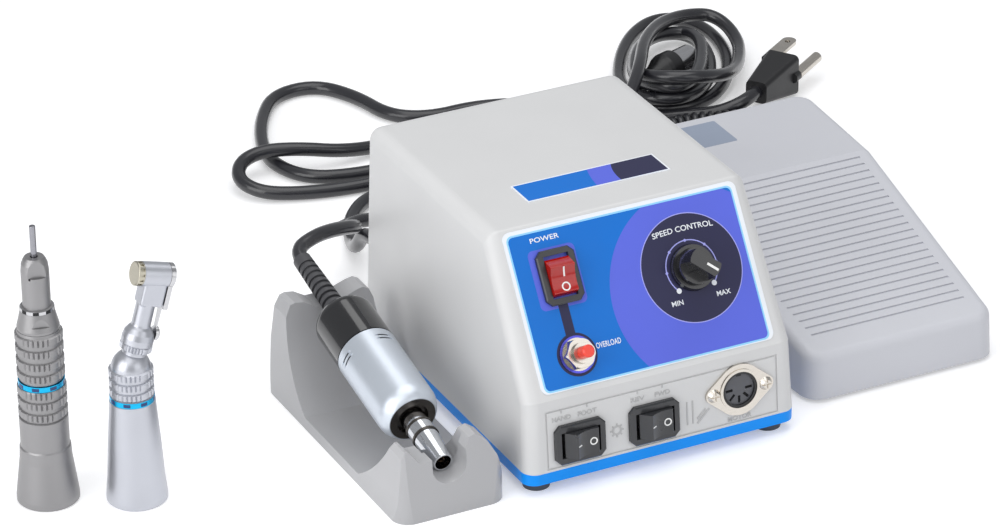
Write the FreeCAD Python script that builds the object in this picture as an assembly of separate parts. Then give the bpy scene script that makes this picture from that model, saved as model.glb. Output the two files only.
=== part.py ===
"""Dental lab micromotor set: control unit, motor in its cradle, foot pedal, cords and two handpieces.

Everything is drawn in one layout: X to the right, Y to the rear, Z up, with X = 0 at the middle of the
control unit, Y = 0 at its front face and Z = 0 on the table. At the end all pieces move by one shift, so
that the origin lies on the table below the middle of the set.
"""
import FreeCAD, Part
import math
import os

V = FreeCAD.Vector
Rotation = FreeCAD.Rotation
Placement = FreeCAD.Placement

# Clearances
RUN_GAP = 0.05          # radial gap of a shaft or pin that turns in its bore
FIT_GAP = 0.03          # gap of a fixed piece in its seat
SLIDE_GAP = 0.3         # gap between a moving piece and what it moves past

# Control unit housing
UNIT_W = 115.0
UNIT_D = 145.0
TRAY_H = 4.6
HOUSING_H = 83.8
LOWER_PANEL_H = 28.8
LOWER_LEAN = 5.0
UPPER_LEAN = 33.0
SIDE_LEAN = 1.8
REAR_LEAN = 1.0
WALL = 2.6
CORNER_R = 5.5
ROOF_FRONT_R = 1.5
LIP_H = 3.0
LIP_T = 1.4
LIP_GAP = 0.45
FOOT_D = 12.0
FOOT_H = 4.6
FOOT_INSET_X = 8.0
FOOT_INSET_Y = 9.0
CASE_SCREW_D = 3.0
CASE_SCREW_L = 18.0
CASE_BOSS_D = 7.0
RIB_T = 1.6
GROOVE_INSET = 8.3
GROOVE_BOTTOM = 0.9
GROOVE_TOP = 24.8
GROOVE_W = 0.8
GROOVE_DEPTH = 0.5
VENT_COUNT = 7
VENT_W = 2.2
VENT_L = 22.0
VENT_PITCH = 5.2

# Printed panels
OVERLAY_W = 98.5
OVERLAY_L = 62.0
OVERLAY_UP = 2.3
OVERLAY_T = 0.5
OVERLAY_SUNK = 0.25
OVERLAY_R = 3.0
ROOF_PLATE_W = 60.5
ROOF_PLATE_D = 15.0
ROOF_PLATE_X = 1.1
ROOF_PLATE_REAR = 16.1

# Rocker switches
POWER_FROM_EDGE = 18.55
POWER_UP = 44.2
MODE_FROM_SIDE = 22.0
DIRECTION_FROM_MODE = 31.3
LOWER_SWITCH_UP = 10.2
BEZEL_L = 21.0
BEZEL_W = 15.8
BEZEL_H = 2.0
BEZEL_CUT = 2.2
SWITCH_BODY_L = 19.2
SWITCH_BODY_W = 12.9
SWITCH_BODY_DEPTH = 12.5
ROCKER_HALF = 7.4
ROCKER_W = 10.0
ROCKER_VALLEY = 4.0       # height of the hollow top's middle over the panel, with the rocker level
ROCKER_TOP_HALF = 5.0
ROCKER_TOP_H = 5.2
ROCKER_EDGE_H = 0.3
ROCKER_FOOT_IN = 1.2
ROCKER_TILT = 12.0
ROCKER_AXIS_DEPTH = 2.5
ROCKER_PIN_R = 1.0
ROCKER_PIN_L = 0.9
TERMINAL_W = 4.8
TERMINAL_T = 0.8
TERMINAL_L = 7.5

# Overload breaker
BREAKER_FROM_EDGE = 17.75
BREAKER_UP = 14.3
BREAKER_NECK_R = 3.9
BREAKER_NECK_TOP = 6.2
BREAKER_BODY_W = 14.0
BREAKER_BODY_L = 22.0
WASHER_R = 6.25
WASHER_T = 0.8
NUT_FLATS = 10.8
NUT_TOP = 4.5
BUTTON_R = 2.45
BUTTON_TOP = 11.5
BUTTON_TRAVEL = 2.5

# Speed control
DIAL_FROM_EDGE = 26.25
DIAL_UP = 35.7
POT_BODY_R = 12.0
POT_BODY_DEPTH = 10.0
POT_BUSH_R = 3.5
POT_BUSH_TOP = 5.0
POT_NUT_FLATS = 10.0
POT_NUT_T = 2.0
SHAFT_R = 3.0
SHAFT_TOP = 11.0
KNOB_SKIRT_R = 9.0
KNOB_TOP_R = 6.3
KNOB_SKIRT_H = 2.6
KNOB_TOP = 13.3
KNOB_LIFT = 0.6
KNOB_GRIP_HALF = 2.9
MAX_ANGLE = -42.0

# Motor socket
DIN_FROM_SIDE = 25.0
DIN_UP = 14.5
DIN_FLANGE_T = 1.0
DIN_SCREW_PITCH = 22.3
DIN_SCREW_R = 1.5
DIN_EAR_R = 3.3
DIN_SHELL_R = 8.4
DIN_INSERT_R = 7.3
DIN_RIM_H = 1.4
DIN_DEPTH = 12.0
DIN_PIN_CIRCLE = 4.2
DIN_PIN_R = 0.5
DIN_PIN_COUNT = 5
DIN_PIN_SPAN = 180.0
DIN_SLOT_W = 1.1
DIN_SLOT_L = 3.0
DIN_SLOT_DEPTH = 3.0
DIN_SCREW_HEAD_R = 2.7
DIN_SCREW_HEAD_H = 1.4
DIN_CROSS_W = 0.7
DIN_CROSS_DEPTH = 0.6
DIN_NUT_FLATS = 4.4
DIN_NUT_T = 2.2

# Inside of the control unit
CORE_W = 44.0
CORE_D = 56.0
CORE_H = 46.0
COIL_BULGE = 8.0
CORE_RIGHT = 8.0
CORE_REAR = 16.0
BOARD_CORE_GAP = 4.1
BOARD_D = 68.0
BOARD_T = 1.6
BOARD_POST_H = 5.0
BOARD_LEFT = 8.0
BOARD_FRONT = 46.0
POST_R = 2.5
POST_INSET = 4.0
RELAY_X = 6.0
RELAY_Y = 12.0
RELAY_W = 16.0
RELAY_L = 20.0
RELAY_H = 15.0
SINK_FROM_RIGHT = 14.0
SINK_Y = 10.0
SINK_T = 3.0
SINK_L = 40.0
SINK_H = 24.0
FIN_COUNT = 6
FIN_L = 6.0
FIN_T = 1.4
FIN_PITCH = 7.4
BIG_CAPACITOR = (13.0, 44.0, 6.5, 22.0)       # x, y, radius, height
MIDDLE_CAPACITOR = (13.0, 58.0, 5.0, 16.0)
SMALL_CAPACITOR = (14.0, 58.0, 4.0, 12.0)     # its x from the board's right edge

# Rear wall of the control unit
REAR_ROW_Z = 22.0
GLAND_FROM_SIDE = 21.5
GLAND_R = 5.2
GLAND_L = 30.0
FUSE_FROM_GLAND = 28.0
FUSE_R = 6.2
FUSE_DEPTH = 13.0
FUSE_PROUD = 3.0
FUSE_SLOT_L = 8.0
FUSE_SLOT_W = 1.2
PEDAL_SOCKET_FROM_SIDE = 27.5
PEDAL_SOCKET_R = 7.0
PEDAL_SOCKET_BORE_R = 5.0
PEDAL_SOCKET_PROUD = 2.5
PEDAL_SOCKET_DEPTH = 9.0
REAR_NUT_RIM = 2.5
REAR_NUT_T = 2.3
REAR_FLANGE_R = 8.0
REAR_FLANGE_T = 1.6

# Motor
TIP_FROM_CRADLE = 23.7
TIP_Y = 9.4
TIP_Z = 19.2
MOTOR_PITCH = 12.3
NOSE_L = 26.3
NOSE_TIP_R = 3.9
NOSE_LAND_R = 5.1
NOSE_NECK_R = 4.8
NOSE_TAPER_L = 14.0
NOSE_BORE_R = 3.2
RING_1 = 15.0
RING_2 = 20.6
RING_W = 1.0
SLEEVE_R = 12.1
SLEEVE_L = 40.6
SLEEVE_SHOULDER = 6.5
SLEEVE_WALL = 1.6
COLLAR_R = 9.35
COLLAR_BORE_R = 6.45
COLLAR_DEPTH = 4.0
CAP_L = 24.5
CAP_REAR_R = 5.0
CAP_WALL = 1.8
MAGNET_T = 2.2
ARMATURE_R = 7.2
ARMATURE_L = 22.0
MOTOR_SHAFT_R = 1.5
COMMUTATOR_R = 3.6
COMMUTATOR_L = 7.0
BRUSH_W = 4.0
BEARING_R = 6.0
BEARING_L = 4.0
DOG_L = 9.0
DOG_R = 2.0
RELIEF_R = 4.4
RELIEF_END_R = 3.6
RELIEF_L = 36.0
RELIEF_RIBS = 9

# Cradle
CRADLE_W = 45.0
CRADLE_L = 122.0
CRADLE_GAP = 6.5
CRADLE_FRONT = 3.0
CRADLE_FLOOR = 4.2
FRONT_EAR_Z = 31.5
REAR_HORN_Z = 41.0
GROOVE_R = 7.0
GROOVE_REST_GAP = 0.1

# Pedal
PEDAL_GAP = 13.5
PEDAL_FRONT = 13.3
PEDAL_W = 84.0
PEDAL_L = 169.0
PEDAL_SPLAY = 3.5
PEDAL_FRONT_H = 20.0
PEDAL_REAR_H = 44.0
PEDAL_KINK = 108.0
PEDAL_WALL = 2.6
PEDAL_SKIRT_FRONT = 1.6
PEDAL_SKIRT_REAR = 15.0
PEDAL_DRAFT = 2.0
PEDAL_CORNER_R = 8.0
PEDAL_TOP_R = 4.0
RIB_COUNT = 22
RIB_FIRST = 13.4
RIB_PITCH = 4.33
RIB_W = 1.1
RIB_DEPTH = 0.6
RIB_MARGIN = 8.5
PEDAL_TRAVEL = 4.0
PEDAL_BASE_GAP = 2.0
PEDAL_BASE_FRONT_R = 4.0
PEDAL_FOOT_H = 3.0
PEDAL_FOOT_R = 6.0
PEDAL_FOOT_INSET = 20.0
PEDAL_FLOOR = 2.5
PEDAL_RIM_H = 8.5
HINGE_Y = 12.0
HINGE_Z = 10.6
HINGE_PIN_R = 1.8
HINGE_EAR_T = 3.0
HINGE_X = 30.0
SPRING_X = 26.0
SPRING_Y = 128.0
SPRING_R = 5.5
SPRING_WIRE_R = 0.8
SPRING_TURNS = 6
MAGNET_R = 4.0
PEDAL_RELIEF_X = 18.0
PEDAL_RELIEF_R = 3.6
PEDAL_RELIEF_RIM = 1.0
PEDAL_RELIEF_L = 20.0

# Straight handpiece
STRAIGHT_FROM_CRADLE = 106.4
STRAIGHT_Y = 84.5
STRAIGHT_BASE_R = 11.8
STRAIGHT_WAIST_R = 9.4
STRAIGHT_GRIP_R = 8.2
KNURL_H = 3.3
KNURL_RISE = 0.75
FLUTE_DEPTH = 0.5
FLUTE_GROUPS = 4
FLUTES_IN_GROUP = 6
FLUTE_STEP = 12.5
FLUTE_TURN = -29.0        # turn of the first group's middle from +X
STRAIGHT_FLAT_TURN = -12.0
NOSE_FLAT_AT = 4.0
NOSE_FLAT_L = 7.0
COLLAR_FLAT_AT = 6.7
COLLAR_FLAT_UP = 2.8
VENT_TURN = -44.0
VENT_R = 0.45
VENT_DOWN = 7.3
SOCKET_R = 5.3
SOCKET_DEPTH = 27.0
STRAIGHT_BLUE_Z = 48.9
STRAIGHT_RING_Z = 51.3
STRAIGHT_COLLAR_Z = 72.1
STRAIGHT_NOSE_Z = 79.7
STRAIGHT_TOP_Z = 101.1
BUR_R = 1.175
BUR_TOP_Z = 113.6
BUR_SEAT_Z = 68.0
SPINDLE_R = 2.6
CORE_TUBE_R = 5.2
TAIL_L = 2.2
TAIL_HALF = 0.45

# Contra-angle handpiece
CONTRA_FROM_CRADLE = 76.9
CONTRA_Y = 69.2
CONTRA_BASE_R = 11.55
CONTRA_BLUE_Z = 42.0
BEND_Z = 55.0
CONTRA_TILT = 16.0
CONTRA_NECK_R = 3.6
HEAD_R = 4.7
HEAD_AT = 37.7
HEAD_BACK = 4.9
HEAD_FRONT = 5.6
HEAD_CAP_R = 4.6
HEAD_CAP_T = 2.6
CAP_NOTCH_COUNT = 14
CAP_NOTCH_DEPTH = 0.5
LATCH_T = 1.8
LATCH_GAP = 0.15
LATCH_PAD_AT = 14.3
CONTRA_GRIP_R = 7.6
BALL_R = 7.5

# Cords and plugs
MAINS_R = 3.0
MOTOR_CORD_R = 2.9
PEDAL_CORD_R = 1.6
CURL_R = 5.2
LOOP_LONG = 47.0
LOOP_SHORT = 26.0
LOOP_BAND_W = 8.0
LOOP_BAND_H = 16.0
LOOP_TURN = 63.8
LOOP_LEAN = 4.5
PLUG_BLADE_PITCH = 12.7
PLUG_BLADE_W = 6.35
PLUG_BLADE_T = 1.5
PLUG_BLADE_L = 17.0
PLUG_PIN_R = 2.4
PLUG_PIN_OFF = 11.9
PLUG_PIN_L = 20.5
PLUG_L = 24.0
MOTOR_PLUG_R = 6.6
MOTOR_PLUG_GRIP_R = 7.8
MOTOR_PLUG_SHELL_L = 11.5
MOTOR_PLUG_L = 26.0
MOTOR_TAIL_L = 8.0
PEDAL_PLUG_R = 6.0
PEDAL_PLUG_L = 26.0
MAINS_PLUG_AT = (180.6, 252.2, 9.6)
MAINS_PLUG_HEADING = 35.0
MOTOR_PLUG_AT = (148.6, 289.6, 8.0)
MOTOR_PLUG_HEADING = 20.0
LOOP_CENTRE = (172.0, 305.5, 0.0)
FLOOR_Z = 3.1             # height of a cord's middle where it lies on the table
LEAVING_L = 13.0          # straight run of the mains lead behind its gland
MOTOR_LEAVING_L = 6.5     # straight run of the motor cord behind its strain relief
PLUG_LEAD_L = 11.0        # straight run of a cord into its plug

# Derived places
POWER_X = -(OVERLAY_W / 2 - POWER_FROM_EDGE)
BREAKER_X = -(OVERLAY_W / 2 - BREAKER_FROM_EDGE)
DIAL_X = OVERLAY_W / 2 - DIAL_FROM_EDGE
MODE_X = -(UNIT_W / 2 - MODE_FROM_SIDE)
DIRECTION_X = MODE_X + DIRECTION_FROM_MODE
DIN_X = UNIT_W / 2 - DIN_FROM_SIDE
GLAND_X = -(UNIT_W / 2 - GLAND_FROM_SIDE)
FUSE_X = GLAND_X + FUSE_FROM_GLAND
PEDAL_SOCKET_X = UNIT_W / 2 - PEDAL_SOCKET_FROM_SIDE
CORE_RIGHT_X = UNIT_W / 2 - WALL - LIP_GAP - LIP_T - CORE_RIGHT
BOARD_LEFT_X = -(UNIT_W / 2 - WALL - LIP_GAP - LIP_T - BOARD_LEFT)
BOARD_W = CORE_RIGHT_X - CORE_W - BOARD_CORE_GAP - BOARD_LEFT_X
TIP_X = -UNIT_W / 2 - CRADLE_GAP - TIP_FROM_CRADLE
HOUSING_Z = FOOT_H + TRAY_H
ROOF_Z = HOUSING_Z + HOUSING_H
PANEL_BEND_Z = HOUSING_Z + LOWER_PANEL_H
BLUE_RING_H = 2.2


# Drawing helpers

def block(x0, x1, y0, y1, z0, z1):
    return Part.makeBox(x1 - x0, y1 - y0, z1 - z0, V(x0, y0, z0))


def rod(radius, z0, z1, x=0.0, y=0.0):
    return Part.makeCylinder(radius, z1 - z0, V(x, y, z0))


def rod_x(radius, x0, x1, y=0.0, z=0.0):
    return Part.makeCylinder(radius, x1 - x0, V(x0, y, z), V(1, 0, 0))


def rod_y(radius, y0, y1, x=0.0, z=0.0):
    return Part.makeCylinder(radius, y1 - y0, V(x, y0, z), V(0, 1, 0))


def ring(outer, inner, z0, z1, x=0.0, y=0.0):
    return rod(outer, z0, z1, x, y).cut(rod(inner, z0, z1, x, y))


def cone(r0, r1, z0, z1, x=0.0, y=0.0):
    return Part.makeCone(r0, r1, z1 - z0, V(x, y, z0))


def outline(points):
    return Part.makePolygon(points + [points[0]])


def turned(points):
    """Solid of revolution about Z from a closed outline of (radius, height) points."""
    face = Part.Face(outline([V(r, 0, z) for r, z in points]))
    return face.revolve(V(0, 0, 0), V(0, 0, 1), 360)


def shoulder(r0, z0, r1, z1):
    """Middle point of the arc from (r0, z0) to (r1, z1) that runs out along Z at its second end."""
    step, rise = abs(r1 - r0), abs(z1 - z0)
    radius = (step * step + rise * rise) / (2 * step)
    turn = math.asin(rise / radius) / 2
    return (
        r1 - (radius - radius * math.cos(turn)) * (1 if r1 > r0 else -1),
        z1 - math.copysign(radius * math.sin(turn), z1 - z0),
    )


def turned_with_arcs(points, arcs):
    """Solid of revolution whose outline has arcs: arcs maps an index to the arc's middle point."""
    edges = []
    for i, (r, z) in enumerate(points):
        a, b = V(r, 0, z), V(points[(i + 1) % len(points)][0], 0, points[(i + 1) % len(points)][1])
        if i in arcs:
            edges.append(Part.Arc(a, V(arcs[i][0], 0, arcs[i][1]), b).toShape())
        else:
            edges.append(Part.makeLine(a, b))
    return Part.Face(Part.Wire(edges)).revolve(V(0, 0, 0), V(0, 0, 1), 360)


def prism_x(points, x0, x1):
    """Outline of (y, z) points drawn out along X."""
    return Part.Face(outline([V(x0, y, z) for y, z in points])).extrude(V(x1 - x0, 0, 0))


def prism_y(points, y0, y1):
    """Outline of (x, z) points drawn out along Y."""
    return Part.Face(outline([V(x, y0, z) for x, z in points])).extrude(V(0, y1 - y0, 0))


def prism_z(points, z0, z1):
    """Outline of (x, y) points drawn out along Z."""
    return Part.Face(outline([V(x, y, z0) for x, y in points])).extrude(V(0, 0, z1 - z0))


def along(edge):
    """Unit direction of an edge from its first to its last vertex."""
    a, b = edge.Vertexes[0].Point, edge.Vertexes[-1].Point
    step = b.sub(a)
    return step.normalize() if step.Length > 1e-9 else V(0, 0, 0)


def middle(edge):
    return edge.valueAt((edge.FirstParameter + edge.LastParameter) / 2)


def rounded(shape, radius, wanted):
    """Fillet of one radius on every edge that the test picks."""
    return shape.makeFillet(radius, [e for e in shape.Edges if wanted(e)])


def upright(edge):
    return abs(along(edge).z) > 0.9


def plate(width, depth, corner, z0, z1, x=0.0, y=0.0):
    """Flat plate centred on x, y with round corners."""
    body = block(x - width / 2, x + width / 2, y - depth / 2, y + depth / 2, z0, z1)
    return rounded(body, corner, upright)


def hexagon(flats, z0, z1):
    corner = flats / math.sqrt(3)
    turns = [math.radians(60 * i) for i in range(6)]
    return prism_z([(corner * math.cos(t), corner * math.sin(t)) for t in turns], z0, z1)


def cut_all(shape, tools):
    for tool in tools:
        shape = shape.cut(tool)
    return shape


def joined(shapes):
    whole = shapes[0]
    for other in shapes[1:]:
        whole = whole.fuse(other)
    return whole.removeSplitter()


def placed(shape, place):
    copy = shape.copy()
    copy.Placement = place.multiply(copy.Placement)
    return copy


def mirrored_x(shapes):
    return shapes + [s.mirror(V(0, 0, 0), V(1, 0, 0)) for s in shapes]


def tan(degrees):
    return math.tan(math.radians(degrees))


def cos(degrees):
    return math.cos(math.radians(degrees))


def sin(degrees):
    return math.sin(math.radians(degrees))


# Control unit housing

BEND_Y = LOWER_PANEL_H * tan(LOWER_LEAN)
UPPER_PANEL_L = (ROOF_Z - PANEL_BEND_Z) / cos(UPPER_LEAN)
ROOF_FRONT_Y = BEND_Y + (ROOF_Z - PANEL_BEND_Z) * tan(UPPER_LEAN)
LOWER_PANEL = Placement(V(0, 0, HOUSING_Z), Rotation(V(1, 0, 0), 90 - LOWER_LEAN))
UPPER_PANEL = Placement(V(0, BEND_Y, PANEL_BEND_Z), Rotation(V(1, 0, 0), 90 - UPPER_LEAN))
REAR_WALL = Placement(V(0, UNIT_D, HOUSING_Z), Rotation(V(1, 0, 0), -90 + REAR_LEAN))


def housing_form(inset, bottom):
    """Closed form of the housing, its faces moved in by the inset, its sides reaching down to the bottom."""
    def front(z):
        return (z - HOUSING_Z) * tan(LOWER_LEAN) + inset / cos(LOWER_LEAN)

    def slope(z):
        return BEND_Y + (z - PANEL_BEND_Z) * tan(UPPER_LEAN) + inset / cos(UPPER_LEAN)

    def rear(z):
        return UNIT_D - (z - HOUSING_Z) * tan(REAR_LEAN) - inset / cos(REAR_LEAN)

    def side(z):
        return UNIT_W / 2 - (z - HOUSING_Z) * tan(SIDE_LEAN) - inset / cos(SIDE_LEAN)

    roof = ROOF_Z - inset
    bend_z = PANEL_BEND_Z - (
        slope(PANEL_BEND_Z) - front(PANEL_BEND_Z)
    ) / (tan(UPPER_LEAN) - tan(LOWER_LEAN))
    profile = [(front(bottom), bottom), (front(bend_z), bend_z), (slope(roof), roof), (rear(roof), roof)]
    profile.append((rear(bottom), bottom))
    across = [(-side(bottom), bottom), (side(bottom), bottom), (side(roof), roof), (-side(roof), roof)]
    form = prism_x(profile, -UNIT_W, UNIT_W).common(prism_y(across, -UNIT_D, 2 * UNIT_D))

    def roof_front(edge):
        return abs(along(edge).x) > 0.9 and abs(middle(edge).z - roof) < 0.1 and middle(edge).y < UNIT_D / 2

    def outer(edge):
        point, way = middle(edge), along(edge)
        if abs(way.x) > 0.9:
            return abs(point.z - roof) < 0.1 and point.y > UNIT_D / 2
        return point.z > bottom + 0.1

    if inset == 0:
        form = rounded(form, ROOF_FRONT_R, roof_front)
    return rounded(form, CORNER_R - inset, outer)


def panel_seat(width, height, corner, depth, x, up):
    """Shallow seat or opening, drawn on a panel: X across, Y up the panel, Z out of it."""
    return plate(width, height, corner, -depth, depth, x, up)


def switch_opening(x, up, upright_switch):
    width, height = SWITCH_BODY_L + 2 * FIT_GAP, SWITCH_BODY_W + 2 * FIT_GAP
    if upright_switch:
        width, height = height, width
    depth = 3 * WALL
    return block(x - width / 2, x + width / 2, up - height / 2, up + height / 2, -depth, depth)


def lower_panel_cuts():
    """Openings of the lower switches and the motor socket, and the fine groove round the lower panel."""
    half = UNIT_W / 2 - GROOVE_INSET
    frame = block(-half, half, GROOVE_BOTTOM, GROOVE_TOP, -GROOVE_DEPTH, GROOVE_DEPTH)
    inner = half - GROOVE_W
    frame = frame.cut(block(-inner, inner, GROOVE_BOTTOM + GROOVE_W, GROOVE_TOP - GROOVE_W, -1, 1))
    cuts = [
        frame,
        switch_opening(MODE_X, LOWER_SWITCH_UP, False),
        switch_opening(DIRECTION_X, LOWER_SWITCH_UP, False),
        rod(DIN_SHELL_R + FIT_GAP, -3 * WALL, 3 * WALL, DIN_X, DIN_UP),
    ]
    for side in (-1, 1):
        cuts.append(rod(DIN_SCREW_R + FIT_GAP, -3 * WALL, WALL, DIN_X + side * DIN_SCREW_PITCH / 2, DIN_UP))
    return [placed(c, LOWER_PANEL) for c in cuts]


def upper_panel_cuts():
    middle_up = OVERLAY_UP + OVERLAY_L / 2
    seat_w, seat_l = OVERLAY_W + 2 * FIT_GAP, OVERLAY_L + 2 * FIT_GAP
    cuts = [
        panel_seat(seat_w, seat_l, OVERLAY_R, OVERLAY_SUNK, 0, middle_up),
        switch_opening(POWER_X, POWER_UP, True),
        rod(BREAKER_NECK_R + FIT_GAP, -3 * WALL, 3 * WALL, BREAKER_X, BREAKER_UP),
        rod(POT_BUSH_R + FIT_GAP, -3 * WALL, 3 * WALL, DIAL_X, DIAL_UP),
    ]
    return [placed(c, UPPER_PANEL) for c in cuts]


def roof_cuts():
    y = ROOF_FRONT_Y + ROOF_PLATE_REAR + ROOF_PLATE_D / 2
    x = ROOF_PLATE_X
    seat = block(
        x - ROOF_PLATE_W / 2 - FIT_GAP, x + ROOF_PLATE_W / 2 + FIT_GAP,
        y - ROOF_PLATE_D / 2 - FIT_GAP, y + ROOF_PLATE_D / 2 + FIT_GAP,
        ROOF_Z - OVERLAY_SUNK, ROOF_Z + 1,
    )
    return [seat]


def rear_cuts():
    """Holes of the mains gland, fuse holder and pedal socket, and a row of vent slots above them."""
    up = REAR_ROW_Z - HOUSING_Z
    cuts = [
        rod(GLAND_R + FIT_GAP, -3 * WALL, WALL, GLAND_X, -up),
        rod(FUSE_R + FIT_GAP, -3 * WALL, WALL, FUSE_X, -up),
        rod(PEDAL_SOCKET_R + FIT_GAP, -3 * WALL, WALL, PEDAL_SOCKET_X, -up),
    ]
    vent_middle = -(HOUSING_H - VENT_L)
    for i in range(VENT_COUNT):
        x = (i - (VENT_COUNT - 1) / 2) * VENT_PITCH
        cuts.append(
            block(
                x - VENT_W / 2, x + VENT_W / 2, vent_middle - VENT_L / 2, vent_middle + VENT_L / 2,
                -3 * WALL, WALL,
            )
        )
    return [placed(c, REAR_WALL) for c in cuts]


def foot_places():
    x = UNIT_W / 2 - FOOT_INSET_X
    return [(sx * x, y) for sx in (-1, 1) for y in (FOOT_INSET_Y, UNIT_D - FOOT_INSET_Y)]


def boss_ribs(x, y, top):
    """Two webs that tie a screw boss to the side wall and the front or rear wall, clear of the lip."""
    low = HOUSING_Z + LIP_H + 2 * SLIDE_GAP
    side = math.copysign(UNIT_W / 2, x)
    end = 0 if y < UNIT_D / 2 else UNIT_D
    half = RIB_T / 2
    across = block(min(x, side), max(x, side), y - half, y + half, low, top)
    return across.fuse(block(x - half, x + half, min(y, end), max(y, end), low, top))


def upper_housing():
    """One moulded shell: sloped front, flat roof, round corners, four screw bosses inside."""
    shell = housing_form(0, HOUSING_Z).cut(housing_form(WALL, HOUSING_Z - WALL))
    form = housing_form(0, HOUSING_Z)
    boss_top = HOUSING_Z + CASE_SCREW_L
    for x, y in foot_places():
        boss = rod(CASE_BOSS_D / 2, HOUSING_Z, boss_top, x, y)
        shell = shell.fuse(boss.fuse(boss_ribs(x, y, boss_top)).common(form))
    for x, y in foot_places():
        shell = shell.cut(rod(CASE_SCREW_D / 2 + FIT_GAP, HOUSING_Z, boss_top - WALL, x, y))
    cuts = lower_panel_cuts() + upper_panel_cuts() + roof_cuts() + rear_cuts()
    return cut_all(shell, cuts)


def base_tray():
    """Low blue tray: floor, rim in line with the housing, and a lip that stands inside the housing."""
    outer = plate(UNIT_W, UNIT_D, CORNER_R, FOOT_H, HOUSING_Z, 0, UNIT_D / 2)
    inset = WALL + LIP_GAP
    width, depth = UNIT_W - 2 * inset, UNIT_D - 2 * inset
    lip = plate(width, depth, CORNER_R - WALL, HOUSING_Z - LIP_H, HOUSING_Z + LIP_H, 0, UNIT_D / 2)
    pocket_w, pocket_d = width - 2 * LIP_T, depth - 2 * LIP_T
    pocket = plate(pocket_w, pocket_d, CORNER_R - WALL, FOOT_H + WALL, ROOF_Z, 0, UNIT_D / 2)
    tray = outer.fuse(lip).cut(pocket)
    for x, y in foot_places():
        post = rod(CASE_BOSS_D / 2, FOOT_H, HOUSING_Z, x, y)
        room = rod(CASE_BOSS_D / 2 + SLIDE_GAP, HOUSING_Z, ROOF_Z, x, y)
        tray = tray.cut(room).fuse(post).cut(rod(CASE_SCREW_D / 2 + FIT_GAP, 0, ROOF_Z, x, y))
    return tray


def rubber_feet():
    """Four round feet, each with a recess for its screw's head."""
    feet = []
    for x, y in foot_places():
        foot = cone(FOOT_D / 2 - 0.8, FOOT_D / 2, 0, FOOT_H, x, y)
        foot = foot.cut(rod(CASE_SCREW_D + FIT_GAP, 0, FOOT_H / 2, x, y))
        feet.append(foot.cut(rod(CASE_SCREW_D / 2 + FIT_GAP, 0, FOOT_H, x, y)))
    return feet


def case_screws():
    screws = []
    for x, y in foot_places():
        head = rod(CASE_SCREW_D - 0.2, FOOT_H / 2 - 1.6, FOOT_H / 2, x, y)
        shank = rod(CASE_SCREW_D / 2, FOOT_H / 2, HOUSING_Z + CASE_SCREW_L - 2 * WALL, x, y)
        screws.append(head.fuse(shank))
    return screws


def panel_overlay():
    """Printed sheet in its seat on the sloped front, open for the switch, breaker and speed control."""
    up = OVERLAY_UP + OVERLAY_L / 2
    sheet = plate(OVERLAY_W, OVERLAY_L, OVERLAY_R, -OVERLAY_SUNK, OVERLAY_T - OVERLAY_SUNK, 0, up)
    sheet = cut_all(sheet, [
        switch_opening(POWER_X, POWER_UP, True),
        rod(BREAKER_NECK_R + FIT_GAP, -1, 1, BREAKER_X, BREAKER_UP),
        rod(POT_BUSH_R + FIT_GAP, -1, 1, DIAL_X, DIAL_UP),
    ])
    return placed(sheet, UPPER_PANEL)


def roof_plate():
    y = ROOF_FRONT_Y + ROOF_PLATE_REAR
    half = ROOF_PLATE_W / 2
    low = ROOF_Z - OVERLAY_SUNK
    return block(ROOF_PLATE_X - half, ROOF_PLATE_X + half, y, y + ROOF_PLATE_D, low, low + OVERLAY_T)


# Rocker switches, drawn with the long side along X on a panel whose surface is Z = 0

def switch_place(name):
    """Place of a switch: its panel, its height over it and the turn that puts its I mark in place."""
    seat = OVERLAY_T - OVERLAY_SUNK
    if name == "power":
        return UPPER_PANEL.multiply(Placement(V(POWER_X, POWER_UP, seat), Rotation(V(0, 0, 1), -90)))
    x = MODE_X if name == "mode" else DIRECTION_X
    return LOWER_PANEL.multiply(Placement(V(x, LOWER_SWITCH_UP, 0), Rotation()))


def switch_body():
    """Bezel with cut corners, snap-in body with a pocket for the rocker, and three terminals."""
    bezel = block(-BEZEL_L / 2, BEZEL_L / 2, -BEZEL_W / 2, BEZEL_W / 2, 0, BEZEL_H)
    bezel = bezel.makeChamfer(BEZEL_CUT, [e for e in bezel.Edges if upright(e)])
    bezel = bezel.makeChamfer(0.5, [e for e in bezel.Edges if middle(e).z > BEZEL_H - 0.01])
    body = block(
        -SWITCH_BODY_L / 2, SWITCH_BODY_L / 2, -SWITCH_BODY_W / 2, SWITCH_BODY_W / 2, -SWITCH_BODY_DEPTH, 0
    )
    pocket_half = rocker_reach() + SLIDE_GAP
    pocket_w = ROCKER_W / 2 + 0.2
    pocket = block(-pocket_half, pocket_half, -pocket_w, pocket_w, -pocket_depth(), BEZEL_H)
    body = body.fuse(bezel).cut(pocket)
    pivots = rod_y(
        ROCKER_PIN_R + RUN_GAP, -pocket_w - ROCKER_PIN_L - 0.1, pocket_w + ROCKER_PIN_L + 0.1,
        0, -ROCKER_AXIS_DEPTH,
    )
    body = body.cut(pivots)
    for i in (-1, 0, 1):
        x = i * SWITCH_BODY_L / 3
        low = -SWITCH_BODY_DEPTH - TERMINAL_L
        blade = block(
            x - TERMINAL_T / 2, x + TERMINAL_T / 2, -TERMINAL_W / 2, TERMINAL_W / 2, low,
            -SWITCH_BODY_DEPTH,
        )
        body = body.fuse(blade)
    return body.removeSplitter()


def rocker_reach():
    """Furthest that the pressed end of the rocker comes from the middle."""
    rise = ROCKER_EDGE_H + ROCKER_AXIS_DEPTH
    radius = math.hypot(ROCKER_HALF, rise)
    lean = math.degrees(math.atan2(rise, ROCKER_HALF)) - ROCKER_TILT
    return radius * cos(lean)


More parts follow.
